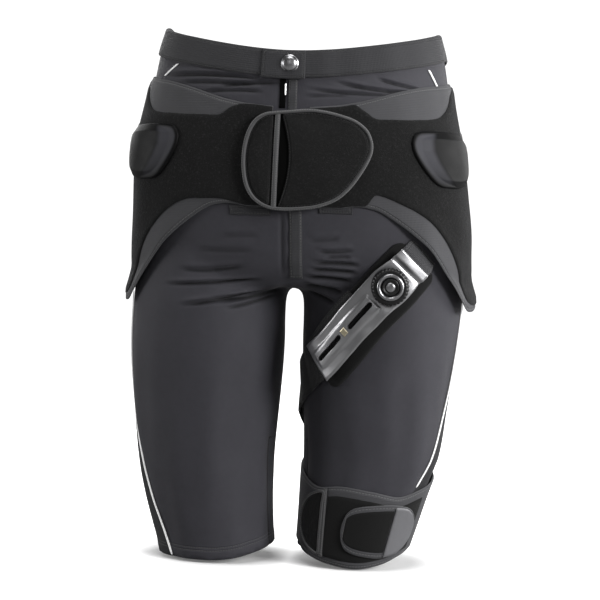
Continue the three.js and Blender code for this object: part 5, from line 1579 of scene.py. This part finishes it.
def make_dial():
    """Dial tensioner: base, knurled grip, steel bezel ring and the hub with its button."""
    origin, out = DIAL_CENTRE, DIAL_OUT
    ahead = route_frame(np.array([DIAL_AT]))[2].reshape(3)
    foot = PLATE_FOOT + PLATE_WALL + 0.0005
    teeth = 28
    teeth_from = 0.0162
    bore = 0.0093

    def knurl(v):
        """Cuts the grip's teeth into its outer wall."""
        r = math.hypot(v.co.x, v.co.y)
        if r < teeth_from:
            return
        turn = math.atan2(v.co.y, v.co.x)
        share = min(1.0, (r - teeth_from) / 0.0018)
        wave = abs(math.sin(turn * teeth / 2)) ** 0.55
        scale = 1 - 0.055 * share * (1 - wave)
        v.co.x *= scale
        v.co.y *= scale

    base_top = foot + 0.0026
    base = [(0.0, foot - 0.0012), (0.0186, foot - 0.0012), (0.0190, foot + 0.0006),
            (0.0190, base_top - 0.0008), (0.0182, base_top), (0.0, base_top)]
    spun("dial_seat", base, 72, origin, out, Finishes.base, "gunmetal", ("dial_base",), up=ahead)
    grip_foot = base_top + 0.0005
    top = grip_foot + 0.0086
    grip = [(bore, grip_foot), (0.0186, grip_foot), (0.0194, grip_foot + 0.0008),
            (0.0195, grip_foot + 0.0030), (0.0193, grip_foot + 0.0050), (0.0186, grip_foot + 0.0066),
            (0.0176, grip_foot + 0.0078), (0.0165, top - 0.0002), (0.0158, top), (bore, top),
            (bore, grip_foot)]
    spun("dial_knurl", grip, teeth * 10, origin, out, Finishes.rubber, "rubber", ("dial_grip",),
         body="knob", shape=knurl, up=ahead)
    bezel = top + 0.0003
    ring = [(bore, bezel), (0.0133, bezel), (0.0137, bezel + 0.0005), (0.0136, bezel + 0.0011),
            (0.0130, bezel + 0.0018), (0.0122, bezel + 0.0022), (0.0112, bezel + 0.0022),
            (0.0104, bezel + 0.0016), (0.0098, bezel + 0.0008), (bore, bezel + 0.0004), (bore, bezel)]
    spun("dial_ring", ring, 96, origin, out, Finishes.steel, "steel", ("dial_bezel",), body="knob",
         up=ahead)
    hub_top = grip_foot + 0.0106
    hub = [(0.0, grip_foot), (0.0088, grip_foot), (0.0088, hub_top - 0.0008), (0.0085, hub_top - 0.0002),
           (0.0078, hub_top), (0.0068, hub_top - 0.0004), (0.0052, hub_top - 0.0010),
           (0.0047, hub_top - 0.0010), (0.0, hub_top - 0.0010)]
    spun("dial_core", hub, 72, origin, out, Finishes.rubber, "rubber", ("dial_hub",), body="hub", up=ahead)
    button = [(0.0, hub_top - 0.0008), (0.0046, hub_top - 0.0008), (0.0048, hub_top - 0.0002),
              (0.0046, hub_top + 0.0004), (0.0038, hub_top + 0.0008), (0.0022, hub_top + 0.0011),
              (0.0, hub_top + 0.0012)]
    spun("dial_button", button, 48, origin, out, Finishes.steel, "steel", (), body="hub", up=ahead)


def make_cuff():
    """Knee cuff: a laminate wrap, its plush face, the pile flap, the seam band and the closure tab."""
    def edges(rows, name):
        return lambda u: leg_height(along(rows, "angle", np.degrees(u), name))

    def ends(rows):
        return math.radians(rows["angle"][0]), math.radians(rows["angle"][-1])

    top = edges(CUFF, "top")
    foot = edges(CUFF, "foot")
    radius = 0.065
    seam = math.radians(-31)
    sag = lambda u, v, rim: 0.0003 * np.sin(u * 7 + v * 70)
    shape = band_shape(-math.pi, math.pi, foot, top, radius, joined=True)
    cloth("cuff_wrap", on_left, shape, 150, 30, CUFF_FOOT, CUFF_WALL, Finishes.cuff_laminate, "laminate",
          ("knee_cuff",), soft=0.0022, swell=sag)
    pile_from, pile_to = math.radians(-28), math.radians(64)
    shape = band_shape(pile_from, pile_to, lambda u: foot(u) + 0.007, lambda u: top(u) - 0.010, radius)
    cloth("cuff_pile", on_left, shape, 80, 26, CUFF_PLUSH_FOOT - 0.0006, 0.0018, Finishes.foam, "plush",
          ("cuff_plush",), soft=0.002)
    wide = math.radians(1.9)
    at = lambda u, v, lift: on_left(u + 1.4 * (leg_height(0.73) - v), v, lift)
    shape = band_shape(seam - wide, seam + wide, lambda u: foot(u) + 0.004, lambda u: top(u) - 0.001,
                       radius)
    cloth("cuff_seam_tape", at, shape, 10, 46, CUFF_PLUSH_FOOT, 0.0022, Finishes.tape, "binding",
          ("cuff_seam_band",), soft=0.0012)

    spots = np.stack([np.radians(CUFF_FLAP["angle"] - 1) * radius, leg_height(CUFF_FLAP["drop"])], -1)
    outline = curve_through(spots, 150)
    on_flap = lambda u, v, lift: on_left(u / radius, v, lift)
    flap = cloth("cuff_flap_pile", on_flap, outline_shape(outline), 150, 18, CUFF_PLUSH_FOOT, 0.0022,
                 Finishes.flap_plush, "plush", ("cuff_flap",), soft=0.003)
    ring_tape("cuff_flap_tape", on_flap, outline, 0.0030, CUFF_PLUSH_FOOT, 0.0032, Finishes.tape, "binding",
              (), inset=-0.0012)

    first, last = ends(CUFF_TAB)
    shape = band_shape(first, last, edges(CUFF_TAB, "foot"), edges(CUFF_TAB, "top"), radius)
    tab = cloth("cuff_tab_laminate", on_left, shape, 80, 34, CUFF_TAB_FOOT, 0.0022, Finishes.cuff_laminate,
                "laminate", ("cuff_tab",), soft=0.003)
    inner_from, inner_to = math.radians(-7.5), math.radians(30)
    shape = band_shape(inner_from, inner_to, lambda u: edges(CUFF_TAB, "foot")(u) + 0.006,
                       lambda u: edges(CUFF_TAB, "top")(u) - 0.006, radius)
    cloth("cuff_tab_pile", on_left, shape, 60, 24, CUFF_TAB_FOOT + 0.0019, 0.0012, Finishes.foam, "plush",
          (), soft=0.0015)
    first, last = ends(CUFF_GRIP)
    shape = band_shape(first, last, edges(CUFF_GRIP, "foot"), edges(CUFF_GRIP, "top"), radius)
    cloth("cuff_grip_moulding", on_left, shape, 50, 30, CUFF_TAB_FOOT + 0.0026, 0.0017, Finishes.grip,
          "moulded", ("cuff_tab_grip",), soft=0.002)


def make_piping():
    """White piping down the side seams, with the short lengths that show above the belt."""
    wide, tall = 0.0028, 0.0016
    belt_foot = CROTCH_DROP * BELT["foot"].min() - 0.003
    cuff_top = float(leg_height(along(CUFF, "angle", np.array([60.0]), "top"))[0]) + 0.002
    hem = float(hem_height(0.0)) + 0.001
    for side, word, foot_z in ((1, "left", cuff_top), (-1, "right", hem)):
        def path(s, side=side, foot_z=foot_z):
            z = belt_foot + 0.012 + (foot_z - belt_foot - 0.012) * s
            return seam_angle(z, side), z, leg_section(z)[2]
        at = lambda u, v, lift, side=side: on_leg(u, v, lift, side)
        line_tape(f"piping_tape_{word}", at, path, wide, 0.0002, tall, Finishes.piping, "reflective",
                  (f"piping_{word}",), columns=220)
    for word, angle, to_angle, high, low in (("left", 68.0, 72.0, -0.012, -0.029),
                                             ("right", -61.0, -68.0, -0.0135, -0.0255)):
        def path(s, angle=angle, to_angle=to_angle, high=high, low=low):
            turn = np.radians(angle + (to_angle - angle) * s)
            return turn, high + (low - high) * s, np.full(np.shape(s), 0.15)
        line_tape(f"piping_top_{word}", on_trunk, path, wide, 0.0002, tall, Finishes.piping, "reflective",
                  (), columns=30)


# Studio lights: name, place in metres, side of the square light in metres, and power in watts
LIGHTS = (("key", (1.8, -1.2, 0.4), 0.8, 46), ("left_side", (-2.1, -0.15, 0.1), 0.8, 18),
          ("right_edge", (1.8, 0.4, 0.1), 0.8, 20), ("front", (-0.2, -2.3, 0.5), 0.9, 3),
          ("top", (0.0, -0.6, 1.7), 1.0, 18), ("behind_left", (-1.2, 2.0, 0.6), 1.2, 22),
          ("behind_right", (1.4, 1.9, 0.3), 1.0, 12))


def make_stage():
    """Pale floor with a shadow painted round the hems, backdrop, soft studio lights, and the camera at the
    photograph's angle.
    """
    scene = bpy.context.scene
    floor_z = -HEM_DROP - FLOOR_GAP
    material, sh, surface = new_material("pale floor", Roughness=0.9, Specular_IOR_Level=0.1)
    x, y, _ = sh.parts(sh.object())
    hems_middle, hem_off = 0.003, 0.076
    beside = sh.math("SUBTRACT", sh.math("ABSOLUTE", sh.math("SUBTRACT", x, hems_middle)), hem_off)
    away = sh.math("SQRT", sh.math("ADD", sh.math("MULTIPLY", beside, beside), sh.math("MULTIPLY", y, y)))
    seen = sh.node("ShaderNodeLightPath").outputs["Is Camera Ray"]
    shade_end, shade_gone = 0.055, 0.115
    # The floor glows white for the camera but less near the hems: a painted contact shadow round them
    glow = sh.math("ADD", 0.12, sh.turn(away, shade_end, shade_gone))
    sh.feed(surface["Base Color"], sh.mix(seen, grey(0.3), grey(0.85)))
    surface["Emission Color"].default_value = (1, 1, 1, 1)
    sh.feed(surface["Emission Strength"], sh.math("MULTIPLY", glow, seen))
    bm = bmesh.new()
    bmesh.ops.create_grid(bm, x_segments=2, y_segments=2, size=6.0)
    bmesh.ops.translate(bm, verts=bm.verts, vec=(0, 0, floor_z))
    mesh = bpy.data.meshes.new("floor")
    bm.to_mesh(mesh)
    bm.free()
    mesh.materials.append(material)
    floor = bpy.data.objects.new("floor", mesh)
    scene.collection.objects.link(floor)

    world = bpy.data.worlds.new("studio")
    world.use_nodes = True
    backdrop = world.node_tree.nodes["Background"]
    backdrop.inputs["Color"].default_value = (1, 1, 1, 1)
    air = Shader(world.node_tree)
    seen = air.node("ShaderNodeLightPath").outputs["Is Camera Ray"]
    air_light, backdrop_light = 0.06, 1.1
    air.feed(backdrop.inputs["Strength"],
             air.math("ADD", air_light, air.math("MULTIPLY", seen, backdrop_light)))
    scene.world = world
    scene.view_settings.view_transform = "Standard"

    aim = Vector((0, 0, -0.24))
    for name, spot, size, power in LIGHTS:
        light = bpy.data.lights.new(name, "AREA")
        light.size = size
        light.energy = power
        lamp = bpy.data.objects.new(name, light)
        lamp.location = spot
        lamp.rotation_euler = (aim - Vector(spot)).to_track_quat("-Z", "Y").to_euler()
        scene.collection.objects.link(lamp)

    azimuth, elevation, roll = math.radians(5), math.radians(2.5), math.atan(0.0332)
    distance = 2.2
    aim_height = -0.255
    pixels_per_radian = 2075.5
    frame_pixels = 600
    sensor = 36
    side_shift = 5.5
    back = Vector((math.sin(azimuth) * math.cos(elevation), -math.cos(azimuth) * math.cos(elevation),
                   math.sin(elevation)))
    right = Vector((math.cos(azimuth), math.sin(azimuth), 0))
    up = back.cross(right)
    tilted = right * math.cos(roll) + up * math.sin(roll)
    raised = up * math.cos(roll) - right * math.sin(roll)
    camera = bpy.data.cameras.new("camera")
    camera.sensor_width = sensor
    camera.lens = sensor * pixels_per_radian / frame_pixels
    camera.shift_x = side_shift / frame_pixels
    camera.clip_start = 0.05
    viewer = bpy.data.objects.new("camera", camera)
    matrix = Matrix((tilted, raised, back)).transposed().to_4x4()
    matrix.translation = Vector((0, 0, aim_height)) + back * distance
    viewer.matrix_world = matrix
    scene.collection.objects.link(viewer)
    scene.camera = viewer


make_shorts()
make_waist()
make_fly()
make_fly_gap()
make_belt()
make_under_tabs()
make_closure()
make_hip_pads()
make_thigh_strap()
make_plate()
make_dial()
make_cuff()
make_piping()
make_stage()
